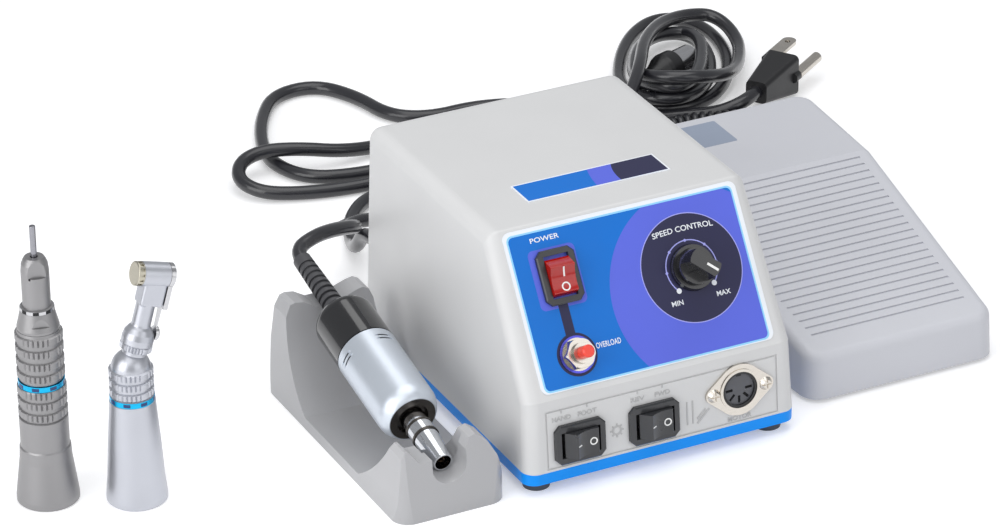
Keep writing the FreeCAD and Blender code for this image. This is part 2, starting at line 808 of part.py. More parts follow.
def rocker_end_height():
    """Height of the rocker's raised end over its panel, at rest."""
    rise = ROCKER_TOP_H + ROCKER_AXIS_DEPTH
    return rise * cos(ROCKER_TILT) + ROCKER_TOP_HALF * sin(ROCKER_TILT) - ROCKER_AXIS_DEPTH


def pocket_depth():
    return ROCKER_AXIS_DEPTH + 1.0 + rocker_reach() * sin(ROCKER_TILT) + 2 * SLIDE_GAP


def rocker():
    """Rocker with a hollow top and sloped ends, at rest: its O end, at +X, pressed in, its I end raised."""
    low = -ROCKER_AXIS_DEPTH - 0.6
    foot = ROCKER_HALF - ROCKER_FOOT_IN
    y = -ROCKER_W / 2
    crest, hollow = V(ROCKER_TOP_HALF, y, ROCKER_TOP_H), V(0, y, ROCKER_VALLEY)
    far_crest = V(-ROCKER_TOP_HALF, y, ROCKER_TOP_H)
    below = [V(side * x, y, z) for side, x, z in (
        (-1, ROCKER_HALF, ROCKER_EDGE_H), (-1, foot, low), (1, foot, low), (1, ROCKER_HALF, ROCKER_EDGE_H),
    )]
    corners = [far_crest] + below + [crest]
    edges = [Part.makeLine(a, b) for a, b in zip(corners, corners[1:])]
    edges.append(Part.Arc(crest, hollow, far_crest).toShape())
    body = Part.Face(Part.Wire(edges)).extrude(V(0, ROCKER_W, 0))
    body = rounded(body, 0.4, lambda e: abs(along(e).y) > 0.9 and middle(e).z > ROCKER_TOP_H - 0.1)
    reach = ROCKER_W / 2 + 0.2 + ROCKER_PIN_L
    body = body.fuse(rod_y(ROCKER_PIN_R, -reach, reach, 0, -ROCKER_AXIS_DEPTH))
    body.rotate(V(0, 0, -ROCKER_AXIS_DEPTH), V(0, 1, 0), ROCKER_TILT)
    return body


# Overload breaker, drawn on the upper panel

BREAKER = UPPER_PANEL.multiply(Placement(V(BREAKER_X, BREAKER_UP, OVERLAY_T - OVERLAY_SUNK), Rotation()))


def breaker_body():
    """Box behind the panel with a threaded neck through it; the button runs in the neck."""
    half = BREAKER_BODY_W / 2
    behind = -WALL - OVERLAY_T
    box = block(-half, half, -half, half, behind - BREAKER_BODY_L, behind)
    neck = rod(BREAKER_NECK_R, behind, BREAKER_NECK_TOP)
    bore = rod(BUTTON_R + RUN_GAP, -BREAKER_NECK_TOP - BUTTON_TRAVEL, BREAKER_NECK_TOP)
    return placed(box.fuse(neck).cut(bore), BREAKER)


def breaker_washer():
    return placed(ring(WASHER_R, BREAKER_NECK_R + FIT_GAP, 0, WASHER_T), BREAKER)


def breaker_nut():
    nut = hexagon(NUT_FLATS, WASHER_T, NUT_TOP)
    crown = cone(NUT_FLATS / 2 + 2.2, NUT_FLATS / 2 - 0.4, WASHER_T, NUT_TOP + 1.2)
    return placed(nut.common(crown).cut(rod(BREAKER_NECK_R + FIT_GAP, 0, NUT_TOP)), BREAKER)


def reset_button():
    stem = rod(BUTTON_R, -BREAKER_NECK_TOP, BUTTON_TOP)
    stem = stem.makeChamfer(0.5, [stem.Edges[0], stem.Edges[2]])
    return placed(stem, BREAKER)


# Speed control, drawn on the upper panel

DIAL = UPPER_PANEL.multiply(Placement(V(DIAL_X, DIAL_UP, OVERLAY_T - OVERLAY_SUNK), Rotation()))


def potentiometer():
    """Round body behind the panel, bushing through it and lugs below."""
    behind = -WALL - OVERLAY_T
    body = rod(POT_BODY_R, behind - POT_BODY_DEPTH, behind)
    body = body.fuse(rod(POT_BUSH_R, behind, POT_BUSH_TOP))
    bore = rod(SHAFT_R + RUN_GAP, behind - POT_BODY_DEPTH / 2, POT_BUSH_TOP)
    body = body.cut(bore)
    for i in (-1, 0, 1):
        lug = block(i * 5 - 1, i * 5 + 1, -POT_BODY_R - 5, -POT_BODY_R + 3, behind - 3, behind - 2)
        body = body.fuse(lug)
    return placed(body.removeSplitter(), DIAL)


def potentiometer_nut():
    nut = hexagon(POT_NUT_FLATS, 0, POT_NUT_T).cut(rod(POT_BUSH_R + FIT_GAP, 0, POT_NUT_T))
    return placed(nut, DIAL)


def potentiometer_shaft():
    low = -WALL - OVERLAY_T - POT_BODY_DEPTH / 2 + SLIDE_GAP
    return placed(rod(SHAFT_R, low, SHAFT_TOP), DIAL)


def speed_knob():
    """Skirted knob, hollow over the nut, with a raised grip bar across its top that points to MAX."""
    skirt = cone(KNOB_SKIRT_R, KNOB_SKIRT_R - 0.5, KNOB_LIFT, KNOB_SKIRT_H)
    tower = cone(KNOB_TOP_R + 1.0, KNOB_TOP_R, KNOB_SKIRT_H, KNOB_TOP)
    knob = skirt.fuse(tower)
    side_cut = block(
        -KNOB_SKIRT_R, KNOB_SKIRT_R, KNOB_GRIP_HALF, KNOB_SKIRT_R, KNOB_SKIRT_H + 3.0, KNOB_TOP,
    )
    knob = knob.cut(side_cut).cut(side_cut.mirror(V(0, 0, 0), V(0, 1, 0)))
    hollow = rod(POT_NUT_FLATS / math.sqrt(3) + 0.4, KNOB_LIFT, POT_BUSH_TOP + 0.3)
    knob = knob.cut(hollow).cut(rod(SHAFT_R + FIT_GAP, KNOB_LIFT, SHAFT_TOP + FIT_GAP))
    knob.rotate(V(0, 0, 0), V(0, 0, 1), MAX_ANGLE)
    return placed(knob, DIAL)


# Motor socket, drawn on the lower panel

DIN = LOWER_PANEL.multiply(Placement(V(DIN_X, DIN_UP, 0), Rotation()))


def socket_flange():
    """Diamond flange with two screw ears, and a round shell through the panel."""
    hull = []
    pitch = DIN_SCREW_PITCH / 2
    big = rod(DIN_SHELL_R + 2.0, 0, DIN_FLANGE_T)
    for side in (-1, 1):
        hull.append(rod(DIN_EAR_R, 0, DIN_FLANGE_T, side * pitch, 0))
    reach = math.atan2(DIN_SHELL_R + 2.0 - DIN_EAR_R, pitch)
    r0, r1 = DIN_SHELL_R + 2.0, DIN_EAR_R
    up0 = (r0 * math.sin(reach), r0 * math.cos(reach))
    up1 = (pitch + r1 * math.sin(reach), r1 * math.cos(reach))
    web = [(up1[0], -up1[1]), up1, up0, (-up0[0], up0[1]), (-up1[0], up1[1]), (-up1[0], -up1[1])]
    web += [(-up0[0], -up0[1]), (up0[0], -up0[1])]
    flange = joined([big, prism_z(web, 0, DIN_FLANGE_T)] + hull)
    shell = rod(DIN_SHELL_R, -DIN_DEPTH, DIN_RIM_H)
    flange = flange.fuse(shell).cut(rod(DIN_INSERT_R + FIT_GAP, -DIN_DEPTH, DIN_RIM_H))
    for side in (-1, 1):
        flange = flange.cut(rod(DIN_SCREW_R + FIT_GAP, 0, DIN_FLANGE_T, side * pitch, 0))
    return placed(flange.removeSplitter(), DIN)


def socket_insert():
    """Black insulator with a key at the top and a half ring of contact slots below it."""
    body = rod(DIN_INSERT_R, -DIN_DEPTH, DIN_RIM_H - 1.2)
    body = body.cut(block(-1.1, 1.1, DIN_INSERT_R - 1.6, DIN_INSERT_R + 1, -DIN_SLOT_DEPTH, DIN_RIM_H))
    for i in range(DIN_PIN_COUNT):
        slot = block(
            -DIN_SLOT_W / 2, DIN_SLOT_W / 2, -DIN_PIN_CIRCLE - DIN_SLOT_L / 2,
            -DIN_PIN_CIRCLE + DIN_SLOT_L / 2, -DIN_SLOT_DEPTH, DIN_RIM_H,
        )
        slot.rotate(V(0, 0, 0), V(0, 0, 1), -DIN_PIN_SPAN / 2 + i * DIN_PIN_SPAN / (DIN_PIN_COUNT - 1))
        body = body.cut(slot)
    return placed(body, DIN)


def socket_screws():
    """Two cross-slot screws in the flange's ears, each with its nut behind the panel."""
    half = DIN_CROSS_W / 2
    nut_face = -WALL - SLIDE_GAP
    shank_end = nut_face - DIN_NUT_T - 0.4
    screws = []
    for side in (-1, 1):
        x = side * DIN_SCREW_PITCH / 2
        head_top = DIN_FLANGE_T + DIN_SCREW_HEAD_H
        head = cone(DIN_SCREW_HEAD_R, DIN_SCREW_HEAD_R - 1.0, DIN_FLANGE_T, head_top, x)
        shank = rod(DIN_SCREW_R, shank_end, DIN_FLANGE_T, x)
        cross_z = head_top - DIN_CROSS_DEPTH
        slot = block(x - DIN_SCREW_HEAD_R, x + DIN_SCREW_HEAD_R, -half, half, cross_z, head_top)
        slot_2 = block(x - half, x + half, -DIN_SCREW_HEAD_R, DIN_SCREW_HEAD_R, cross_z, head_top)
        nut = hexagon(
            DIN_NUT_FLATS, nut_face - DIN_NUT_T, nut_face,
        ).cut(rod(DIN_SCREW_R + FIT_GAP, shank_end, 0))
        nut.translate(V(x, 0, 0))
        screws.append(placed(head.fuse(shank).cut(slot).cut(slot_2), DIN))
        screws.append(placed(nut, DIN))
    return screws


# Inside of the control unit

TRAY_FLOOR = FOOT_H + WALL


def transformer_core():
    """Laminated frame with two windows and a foot flange, screwed to the tray's floor."""
    right = CORE_RIGHT_X
    rear = UNIT_D - WALL - LIP_GAP - LIP_T - CORE_REAR
    core = block(right - CORE_W, right, rear - CORE_D, rear, TRAY_FLOOR, TRAY_FLOOR + CORE_H)
    limb = CORE_D / 6
    for k in (0, 1):
        y0 = rear - CORE_D + limb * (1 + 3 * k)
        window = block(right - CORE_W, right, y0, y0 + limb, TRAY_FLOOR + limb, TRAY_FLOOR + CORE_H - limb)
        core = core.cut(window)
    return core


def transformer_coil():
    """Winding round the middle limb: it fills both windows and bulges past the core on both sides."""
    right = CORE_RIGHT_X
    rear = UNIT_D - WALL - LIP_GAP - LIP_T - CORE_REAR
    limb = CORE_D / 6
    gap = 2 * FIT_GAP
    z0, z1 = TRAY_FLOOR + limb + gap, TRAY_FLOOR + CORE_H - limb - gap
    y0, y1 = rear - CORE_D + limb + gap, rear - CORE_D + 5 * limb - gap
    bulge = COIL_BULGE / 2
    coil = block(right - CORE_W - bulge, right + bulge, y0, y1, z0, z1)
    coil = rounded(coil, 3.0, upright)
    return coil.cut(
        block(right - CORE_W - gap, right + gap, y0 + limb - 2 * gap, y1 - limb + 2 * gap, z0, z1)
    )


def circuit_board():
    """Board on four posts beside the transformer, with a relay, two capacitors and a heat sink on it."""
    left, right = BOARD_LEFT_X, BOARD_LEFT_X + BOARD_W
    front, low = BOARD_FRONT, TRAY_FLOOR + BOARD_POST_H
    top = low + BOARD_T
    board = block(left, right, front, front + BOARD_D, low, top)
    for x in (left + POST_INSET, right - POST_INSET):
        for y in (front + POST_INSET, front + BOARD_D - POST_INSET):
            board = board.fuse(rod(POST_R, TRAY_FLOOR, low, x, y))
    x, y = left + RELAY_X, front + RELAY_Y
    board = board.fuse(block(x, x + RELAY_W, y, y + RELAY_L, top, top + RELAY_H))
    x, y = right - SINK_FROM_RIGHT, front + SINK_Y
    board = board.fuse(block(x, x + SINK_T, y, y + SINK_L, top, top + SINK_H))
    for i in range(FIN_COUNT):
        low_y = y + SINK_T / 3 + i * FIN_PITCH
        fin = block(x + SINK_T, x + SINK_T + FIN_L, low_y, low_y + FIN_T, top, top + SINK_H)
        board = board.fuse(fin)
    for edge, way, part in (
        (left, 1, BIG_CAPACITOR), (left, 1, MIDDLE_CAPACITOR), (right, -1, SMALL_CAPACITOR),
    ):
        x, y, radius, height = part
        board = board.fuse(rod(radius, top, top + height, edge + way * x, front + y))
    return board.removeSplitter()


def rear_fitting(x, radius, inner_radius, depth, proud):
    """Round fitting through the rear wall: a flange outside, a threaded barrel and its nut inside."""
    up = -(REAR_ROW_Z - HOUSING_Z)
    flange = rod(max(REAR_FLANGE_R, radius + 2), 0, proud, x, up)
    barrel = rod(radius, -depth, 0, x, up)
    body = flange.fuse(barrel)
    if inner_radius:
        body = body.cut(rod(inner_radius, -depth + 2, proud, x, up))
    nut_face = -WALL - SLIDE_GAP
    nut = ring(radius + REAR_NUT_RIM, radius + FIT_GAP, nut_face - REAR_NUT_T, nut_face, x, up)
    return [placed(body, REAR_WALL), placed(nut, REAR_WALL)]


def mains_gland():
    """Tapered rubber strain relief of the mains lead, held in the rear wall."""
    up = -(REAR_ROW_Z - HOUSING_Z)
    body = rod(GLAND_R, -WALL - 3, 0, GLAND_X, up).fuse(rod(GLAND_R + 1.6, 0, 3, GLAND_X, up))
    body = body.fuse(rod(GLAND_R + 1.2, -WALL - 3, -WALL - 0.3, GLAND_X, up))
    sleeve = cone(GLAND_R - 0.4, MAINS_R + 0.9, 3, GLAND_L, GLAND_X, up)
    body = body.fuse(sleeve)
    for i in range(4):
        z = 6 + i * (GLAND_L - 8) / 4
        body = body.cut(ring(GLAND_R + 1, MAINS_R + 0.6, z, z + 1.6, GLAND_X, up))
    return placed(body.removeSplitter(), REAR_WALL)


def fuse_holder():
    """Cap with a screwdriver slot on a barrel through the rear wall, and its nut inside."""
    body, nut = rear_fitting(FUSE_X, FUSE_R, 0, FUSE_DEPTH, FUSE_PROUD)
    up = -(REAR_ROW_Z - HOUSING_Z)
    slot = plate(FUSE_SLOT_L, FUSE_SLOT_W, 0.1, FUSE_PROUD - 1, FUSE_PROUD + 1, FUSE_X, up)
    return [body.cut(placed(slot, REAR_WALL)), nut]


def pedal_socket():
    """Round socket of the pedal cord, open to the rear."""
    return rear_fitting(
        PEDAL_SOCKET_X, PEDAL_SOCKET_R, PEDAL_SOCKET_BORE_R, PEDAL_SOCKET_DEPTH, PEDAL_SOCKET_PROUD
    )


# Motor, drawn along Z from the tip of its nose to the rear

MOTOR = Placement(V(TIP_X, TIP_Y, TIP_Z), Rotation(V(1, 0, 0), -(90 - MOTOR_PITCH)))
SLEEVE_END = NOSE_L + SLEEVE_L
CAP_END = SLEEVE_END + CAP_L
SLEEVE_BORE_R = SLEEVE_R - SLEEVE_WALL


def in_motor(shapes):
    return [placed(s, MOTOR) for s in shapes]


def coupling_nose():
    """Hollow nose: taper, two lands with a groove behind each, neck, and a flange held in the sleeve."""
    land = NOSE_LAND_R - 0.7
    points = [
        (NOSE_BORE_R, 0), (NOSE_TIP_R - 0.3, 0), (NOSE_TIP_R, 0.3), (NOSE_LAND_R - 0.2, NOSE_TAPER_L),
        (NOSE_LAND_R - 0.2, RING_1 - RING_W / 2), (land, RING_1 - RING_W / 2), (land, RING_1 + RING_W / 2),
        (NOSE_LAND_R, RING_1 + RING_W / 2), (NOSE_LAND_R, RING_2 - RING_W / 2), (land, RING_2 - RING_W / 2),
        (land, RING_2 + RING_W / 2), (NOSE_NECK_R, RING_2 + RING_W / 2),
        (NOSE_NECK_R, NOSE_L + COLLAR_DEPTH), (SLEEVE_BORE_R - FIT_GAP, NOSE_L + COLLAR_DEPTH),
        (SLEEVE_BORE_R - FIT_GAP, NOSE_L + COLLAR_DEPTH + 2), (NOSE_BORE_R, NOSE_L + COLLAR_DEPTH + 2),
    ]
    return turned(points)


def nose_rings():
    """Two dark seal rings in the grooves of the nose."""
    inner, outer = NOSE_LAND_R - 0.7 + FIT_GAP, NOSE_LAND_R + 0.1
    return [
        ring(outer, inner, z - RING_W / 2 + FIT_GAP, z + RING_W / 2 - FIT_GAP)
        for z in (RING_1, RING_2)
    ]


def motor_collar():
    """Grey ring in the mouth of the sleeve, sunk round the nose."""
    points = [
        (COLLAR_BORE_R, NOSE_L), (COLLAR_R - FIT_GAP, NOSE_L),
        (COLLAR_R - FIT_GAP, NOSE_L + COLLAR_DEPTH - FIT_GAP),
        (NOSE_NECK_R + FIT_GAP, NOSE_L + COLLAR_DEPTH - FIT_GAP), (NOSE_NECK_R + FIT_GAP, NOSE_L + 2),
        (COLLAR_BORE_R, NOSE_L + 2),
    ]
    return turned(points)


def motor_sleeve():
    """Silver sleeve with a rounded front shoulder, a seam at its rear and four pairs of air slits."""
    lip = COLLAR_R + 0.3
    seat = NOSE_L + COLLAR_DEPTH
    points = [
        (lip, NOSE_L), (SLEEVE_R, NOSE_L + SLEEVE_SHOULDER), (SLEEVE_R, SLEEVE_END),
        (SLEEVE_BORE_R, SLEEVE_END),
        (SLEEVE_BORE_R, seat), (COLLAR_R, seat), (COLLAR_R, NOSE_L),
    ]
    sleeve = turned_with_arcs(points, {0: shoulder(lip, NOSE_L, SLEEVE_R, NOSE_L + SLEEVE_SHOULDER)})
    for k in range(4):
        for i in (0, 1):
            z = SLEEVE_END - 4.0 - i * 1.9
            slit = block(-4, 4, SLEEVE_R - 0.6, SLEEVE_R + 1, z - 0.4, z + 0.4)
            slit.rotate(V(0, 0, 0), V(0, 0, 1), 90 * k + 20)
            sleeve = sleeve.cut(slit)
    return sleeve


def motor_rear_cap():
    """Black cup screwed to the sleeve, round at its rear, with the hole of the strain relief."""
    cap = rod(SLEEVE_R, SLEEVE_END, CAP_END)
    cap = rounded(cap, CAP_REAR_R, lambda e: middle(e).z > CAP_END - 0.1 and len(e.Vertexes) == 1)
    bore = rod(SLEEVE_R - CAP_WALL - 1, SLEEVE_END, CAP_END - CAP_REAR_R)
    hole = rod(RELIEF_R - 0.9 + FIT_GAP, SLEEVE_END, CAP_END)
    groove = ring(SLEEVE_R + 1, SLEEVE_R - 0.4, SLEEVE_END, SLEEVE_END + 0.5)
    return cap.cut(bore).cut(hole).cut(groove)


MAGNET_Z = NOSE_L + COLLAR_DEPTH + 8.0


def stator_magnets():
    """Two half-ring magnets against the sleeve's bore."""
    outer = SLEEVE_BORE_R - FIT_GAP
    shell = ring(outer, outer - MAGNET_T, MAGNET_Z, MAGNET_Z + ARMATURE_L)
    gap = 1.5
    left = shell.common(block(-SLEEVE_R, -gap, -SLEEVE_R, SLEEVE_R, MAGNET_Z, MAGNET_Z + ARMATURE_L))
    return mirrored_x([left])


def motor_bearings():
    """Front bearing in the nose's flange, rear bearing on the brush plate."""
    front_z = NOSE_L + COLLAR_DEPTH + 2 + FIT_GAP
    rear_z = MAGNET_Z + ARMATURE_L + COMMUTATOR_L + 3
    inner = MOTOR_SHAFT_R + RUN_GAP
    front = ring(BEARING_R, inner, front_z, front_z + BEARING_L)
    rear = ring(BEARING_R - 1, inner, rear_z, rear_z + BEARING_L)
    return [front, rear]


def brush_plate():
    """Plate in the rear cap that carries the rear bearing and two brush holders."""
    outer = SLEEVE_R - CAP_WALL - 1 - FIT_GAP
    z0 = MAGNET_Z + ARMATURE_L + COMMUTATOR_L + 3
    plate_ring = ring(outer, BEARING_R - 1 + FIT_GAP, z0, z0 + BEARING_L)
    plate_z = MAGNET_Z + ARMATURE_L + 1.5
    half = BRUSH_W / 2
    holders = []
    for side in (-1, 1):
        x0, x1 = sorted((side * (COMMUTATOR_R + 1.2), side * (outer - 0.9)))
        arm = block(x0, x1, -half - 0.8, half + 0.8, plate_z, z0)
        bore = block(x0 - 1, x1 + 1, -half - FIT_GAP, half + FIT_GAP, plate_z + 0.8, z0 - 0.8)
        holders.append(arm.cut(bore))
    return joined([plate_ring] + holders)


def carbon_brushes():
    z0 = MAGNET_Z + ARMATURE_L + 2.3 + FIT_GAP
    z1 = MAGNET_Z + ARMATURE_L + COMMUTATOR_L + 2.2 - FIT_GAP
    half = BRUSH_W / 2
    near, far = COMMUTATOR_R + 0.15, SLEEVE_R - CAP_WALL - 2
    left = block(-far, -near, -half, half, z0, z1)
    return mirrored_x([left])


def motor_armature():
    """Wound rotor: shaft, laminated core with three slots, and commutator."""
    z0, z1 = MAGNET_Z, MAGNET_Z + ARMATURE_L
    rear = z1 + COMMUTATOR_L + 3 + BEARING_L + 1
    shaft = rod(MOTOR_SHAFT_R, NOSE_L - 4, rear)
    core = rod(ARMATURE_R, z0 + 1, z1 - 1)
    for k in range(3):
        slot = block(-1.0, 1.0, ARMATURE_R - 2.5, ARMATURE_R + 1, z0, z1)
        slot.rotate(V(0, 0, 0), V(0, 0, 1), 120 * k)
        core = core.cut(slot)
    commutator = rod(COMMUTATOR_R, z1 - 1, z1 + COMMUTATOR_L)
    return joined([shaft, core, commutator])


def drive_dog():
    """Driver in the hollow nose, with a slot across its end that turns the handpiece's shaft."""
    z1 = NOSE_L - 4
    dog = rod(DOG_R, z1 - DOG_L, z1 + 3).cut(rod(MOTOR_SHAFT_R + FIT_GAP, z1, z1 + 3))
    return dog.cut(block(-DOG_R, DOG_R, -0.5, 0.5, z1 - DOG_L, z1 - DOG_L + 2.5))


def motor_strain_relief():
    """Ribbed rubber sleeve on the motor cord, its root held in the rear cap."""
    root_r = RELIEF_R - 0.9
    body = rod(root_r, CAP_END - CAP_REAR_R - 2, CAP_END)
    body = body.fuse(cone(RELIEF_R, RELIEF_END_R, CAP_END, CAP_END + RELIEF_L))
    body = body.fuse(rod(root_r + 1.6, CAP_END - CAP_REAR_R - 2, CAP_END - CAP_REAR_R - FIT_GAP))
    step = (RELIEF_L - 6) / RELIEF_RIBS
    for i in range(RELIEF_RIBS):
        z = CAP_END + 3 + i * step
        body = body.cut(ring(RELIEF_R + 1, RELIEF_END_R - 0.5, z, z + step * 0.45))
    return body.removeSplitter()


# Cradle

CRADLE_RIGHT = -UNIT_W / 2 - CRADLE_GAP
CRADLE_LEFT = CRADLE_RIGHT - CRADLE_W
CRADLE_REAR = CRADLE_FRONT + CRADLE_L


def cradle_side_profile():
    """Outline seen from the side: front wall, scooped floor and rear horns, joined by round scoops."""
    front, rear = CRADLE_FRONT, CRADLE_REAR
    floor, ear, horn = CRADLE_FLOOR, FRONT_EAR_Z, REAR_HORN_Z
    f_in, r_in = front + 9.0, rear - 13.0
    p = [V(0, front, 0), V(0, front + 1.2, ear + 1), V(0, f_in, ear + 1)]
    bend_f = V(0, f_in + 28, floor)
    bend_r = V(0, r_in - 24, floor)
    top_r = V(0, r_in, horn + 1)
    edges = [
        Part.makeLine(p[0], p[1]),
        Part.makeLine(p[1], p[2]),
        Part.Arc(p[2], V(0, f_in + 12.5, floor + 12.0), bend_f).toShape(),
        Part.makeLine(bend_f, bend_r),
        Part.Arc(bend_r, V(0, r_in - 7.6, floor + 15.0), top_r).toShape(),
        Part.makeLine(top_r, V(0, rear - 3.0, horn + 1)),
        Part.makeLine(V(0, rear - 3.0, horn + 1), V(0, rear, 0)),
        Part.makeLine(V(0, rear, 0), p[0]),
    ]
    return Part.Face(Part.Wire(edges))


def cradle_front_profile():
    """Outline of the front wall seen from the front: left ear, shelf and right ear."""
    left, right, ear = CRADLE_LEFT, CRADLE_RIGHT, FRONT_EAR_Z
    x = TIP_X
    return [
        (left, 0), (left + 1.0, 8), (left + 2.2, ear - 4), (left + 3.4, ear - 1), (left + 4.6, ear - 1.2),
        (left + 8.0, ear - 5.8), (left + 9.6, ear - 7.0), (x - GROOVE_R, ear - 7.0), (x, ear - 9),
        (x + GROOVE_R, ear - 6.0),
        (x + GROOVE_R + 1.2, ear - 1.2), (x + GROOVE_R + 3.6, ear), (right - 12.0, ear - 0.8),
        (right - 8.0, ear - 4.4),
        (right - 4.2, ear - 11.0), (right - 1.6, 13), (right - 0.6, 8), (right, 0),
    ]


def cradle_rear_profile():
    """Outline of the rear wall seen from behind: two horns with a notch between them."""
    left, right, horn = CRADLE_LEFT, CRADLE_RIGHT, REAR_HORN_Z
    x = TIP_X
    return [
        (left, 0), (left + 1.0, 8), (left + 4.0, horn - 5), (left + 6.2, horn - 0.6), (left + 8.2, horn),
        (left + 12.0, horn - 0.6), (x - 4.5, horn - 3.6), (x + 4.5, horn - 3.6), (right - 11.0, horn - 0.6),
        (right - 8.0, horn), (right - 5.6, horn - 1.2), (right - 4.0, horn - 5), (right - 0.6, 8),
        (right, 0),
    ]


def motor_channel(radius, start, end):
    """Half-round channel along the motor's axis, open upwards, for seats that the motor lies in."""
    seat = rod(radius, start, end)
    above = block(-radius, radius, -60, 0, start, end)
    return placed(seat.fuse(above), MOTOR)


def motor_cradle():
    """One moulded cradle: the nose lies in the front groove, the strain relief in the rear notch."""
    half_y = (CRADLE_FRONT + CRADLE_REAR) / 2
    side = cradle_side_profile()
    side.translate(V(CRADLE_LEFT - 1, 0, 0))
    side = side.extrude(V(CRADLE_W + 2, 0, 0))
    front = prism_y(cradle_front_profile(), CRADLE_FRONT - 1, half_y)
    rear = prism_y(cradle_rear_profile(), half_y, CRADLE_REAR + 1)
    plan = plate(CRADLE_W, CRADLE_L, 7.0, -1, REAR_HORN_Z + 2, (CRADLE_LEFT + CRADLE_RIGHT) / 2, half_y)
    body = side.common(front.fuse(rear)).common(plan)
    reach = 12.0 / cos(MOTOR_PITCH)
    nose_r = NOSE_TIP_R + (NOSE_LAND_R - NOSE_TIP_R) * (CRADLE_FRONT + 9.0 - TIP_Y) / NOSE_TAPER_L
    drop = GROOVE_R - nose_r - GROOVE_REST_GAP
    groove = motor_channel(GROOVE_R, -reach, reach)
    groove.translate(V(0, 0, drop))
    behind = motor_channel(GROOVE_R + 1.0, (CRADLE_FRONT + 9.0 - TIP_Y) / cos(MOTOR_PITCH), NOSE_L)
    rest = motor_channel(RELIEF_R + GROOVE_REST_GAP, CAP_END, CAP_END + RELIEF_L)
    cap_room = placed(rod(SLEEVE_R + 1.0, SLEEVE_END - 5, CAP_END + 1.0), MOTOR)
    return cut_all(body, [groove, behind, rest, cap_room]).removeSplitter()


# Pedal, drawn with X = 0 at its middle, Y = 0 at its front edge and Z = 0 on the table

PEDAL_X = UNIT_W / 2 + PEDAL_GAP + PEDAL_W / 2
PEDAL = Placement(V(PEDAL_X, PEDAL_FRONT, 0), Rotation())
BASE_FLOOR_Z = PEDAL_FOOT_H + PEDAL_FLOOR
PEDAL_RELIEF_Z = BASE_FLOOR_Z + PEDAL_RELIEF_R + PEDAL_RELIEF_RIM + FIT_GAP
BASE_WALL_OUT = PEDAL_L - PEDAL_WALL - PEDAL_BASE_GAP
PEDAL_RELIEF_END = BASE_WALL_OUT + 2 + PEDAL_RELIEF_L
HINGE_EAR_R = HINGE_Z - BASE_FLOOR_Z - SLIDE_GAP


def pedal_plan(inset, z0, z1):
    """Prism of the pedal's plan: front edge narrower than the rear edge, moved in by the inset."""
    def half(y):
        return PEDAL_W / 2 + y * tan(PEDAL_SPLAY) - inset / cos(PEDAL_SPLAY)

    front, rear = inset, PEDAL_L - inset
    return prism_z(
        [(-half(front), front), (half(front), front), (half(rear), rear), (-half(rear), rear)], z0, z1,
    )


def tread_height(y):
    if y > PEDAL_KINK:
        return PEDAL_REAR_H
    return PEDAL_FRONT_H + (PEDAL_REAR_H - PEDAL_FRONT_H) * y / PEDAL_KINK


def treadle_form(inset, corner):
    """Closed wedge of the treadle: sloped tread, flat rear top, drafted sides, round corners."""
    def half(y, z):
        return PEDAL_W / 2 + y * tan(PEDAL_SPLAY) - z * tan(PEDAL_DRAFT) - inset / cos(PEDAL_SPLAY)

    slope = (PEDAL_REAR_H - PEDAL_FRONT_H) / PEDAL_KINK
    down = inset * math.hypot(1, slope)
    top = PEDAL_REAR_H + 2
    low_z = 0.0

    def section(z):
        lean = z * tan(PEDAL_DRAFT)
        front, rear = inset + lean, PEDAL_L - inset - lean
        corners = [
            (-half(front, z), front), (half(front, z), front), (half(rear, z), rear),
            (-half(rear, z), rear),
        ]
        return outline([V(x, y, z) for x, y in corners])

    body = Part.makeLoft([section(low_z), section(top)], True, True)
    body = rounded(body, corner, upright)
    wedge = [
        (-1, -1), (PEDAL_L + 1, -1), (PEDAL_L + 1, PEDAL_REAR_H - inset),
        (PEDAL_KINK + down / 2, PEDAL_REAR_H - inset), (-1, PEDAL_FRONT_H - slope - down),
    ]
    return body.common(prism_x(wedge, -PEDAL_W, PEDAL_W))


def skirt_cut():
    """Everything below the treadle's lower edge, which rises to the rear to leave room for the travel."""
    low = [
        (-5, -5), (PEDAL_L + 5, -5), (PEDAL_L + 5, PEDAL_SKIRT_REAR), (HINGE_Y, PEDAL_SKIRT_FRONT),
        (-5, PEDAL_SKIRT_FRONT),
    ]
    return prism_x(low, -PEDAL_W, PEDAL_W)


def tread_ribs():
    """Thin grooves across the tread that leave a row of flat ribs between them."""
    cuts = []
    slope = math.degrees(math.atan((PEDAL_REAR_H - PEDAL_FRONT_H) / PEDAL_KINK))
    for i in range(RIB_COUNT):
        y = RIB_FIRST + i * RIB_PITCH
        half = PEDAL_W / 2 + y * tan(PEDAL_SPLAY) - RIB_MARGIN
        groove = block(-half, half, -RIB_W / 2, RIB_W / 2, -RIB_DEPTH, 1)
        groove.rotate(V(0, 0, 0), V(1, 0, 0), slope)
        groove.translate(V(0, y, tread_height(y)))
        cuts.append(groove)
    return cuts


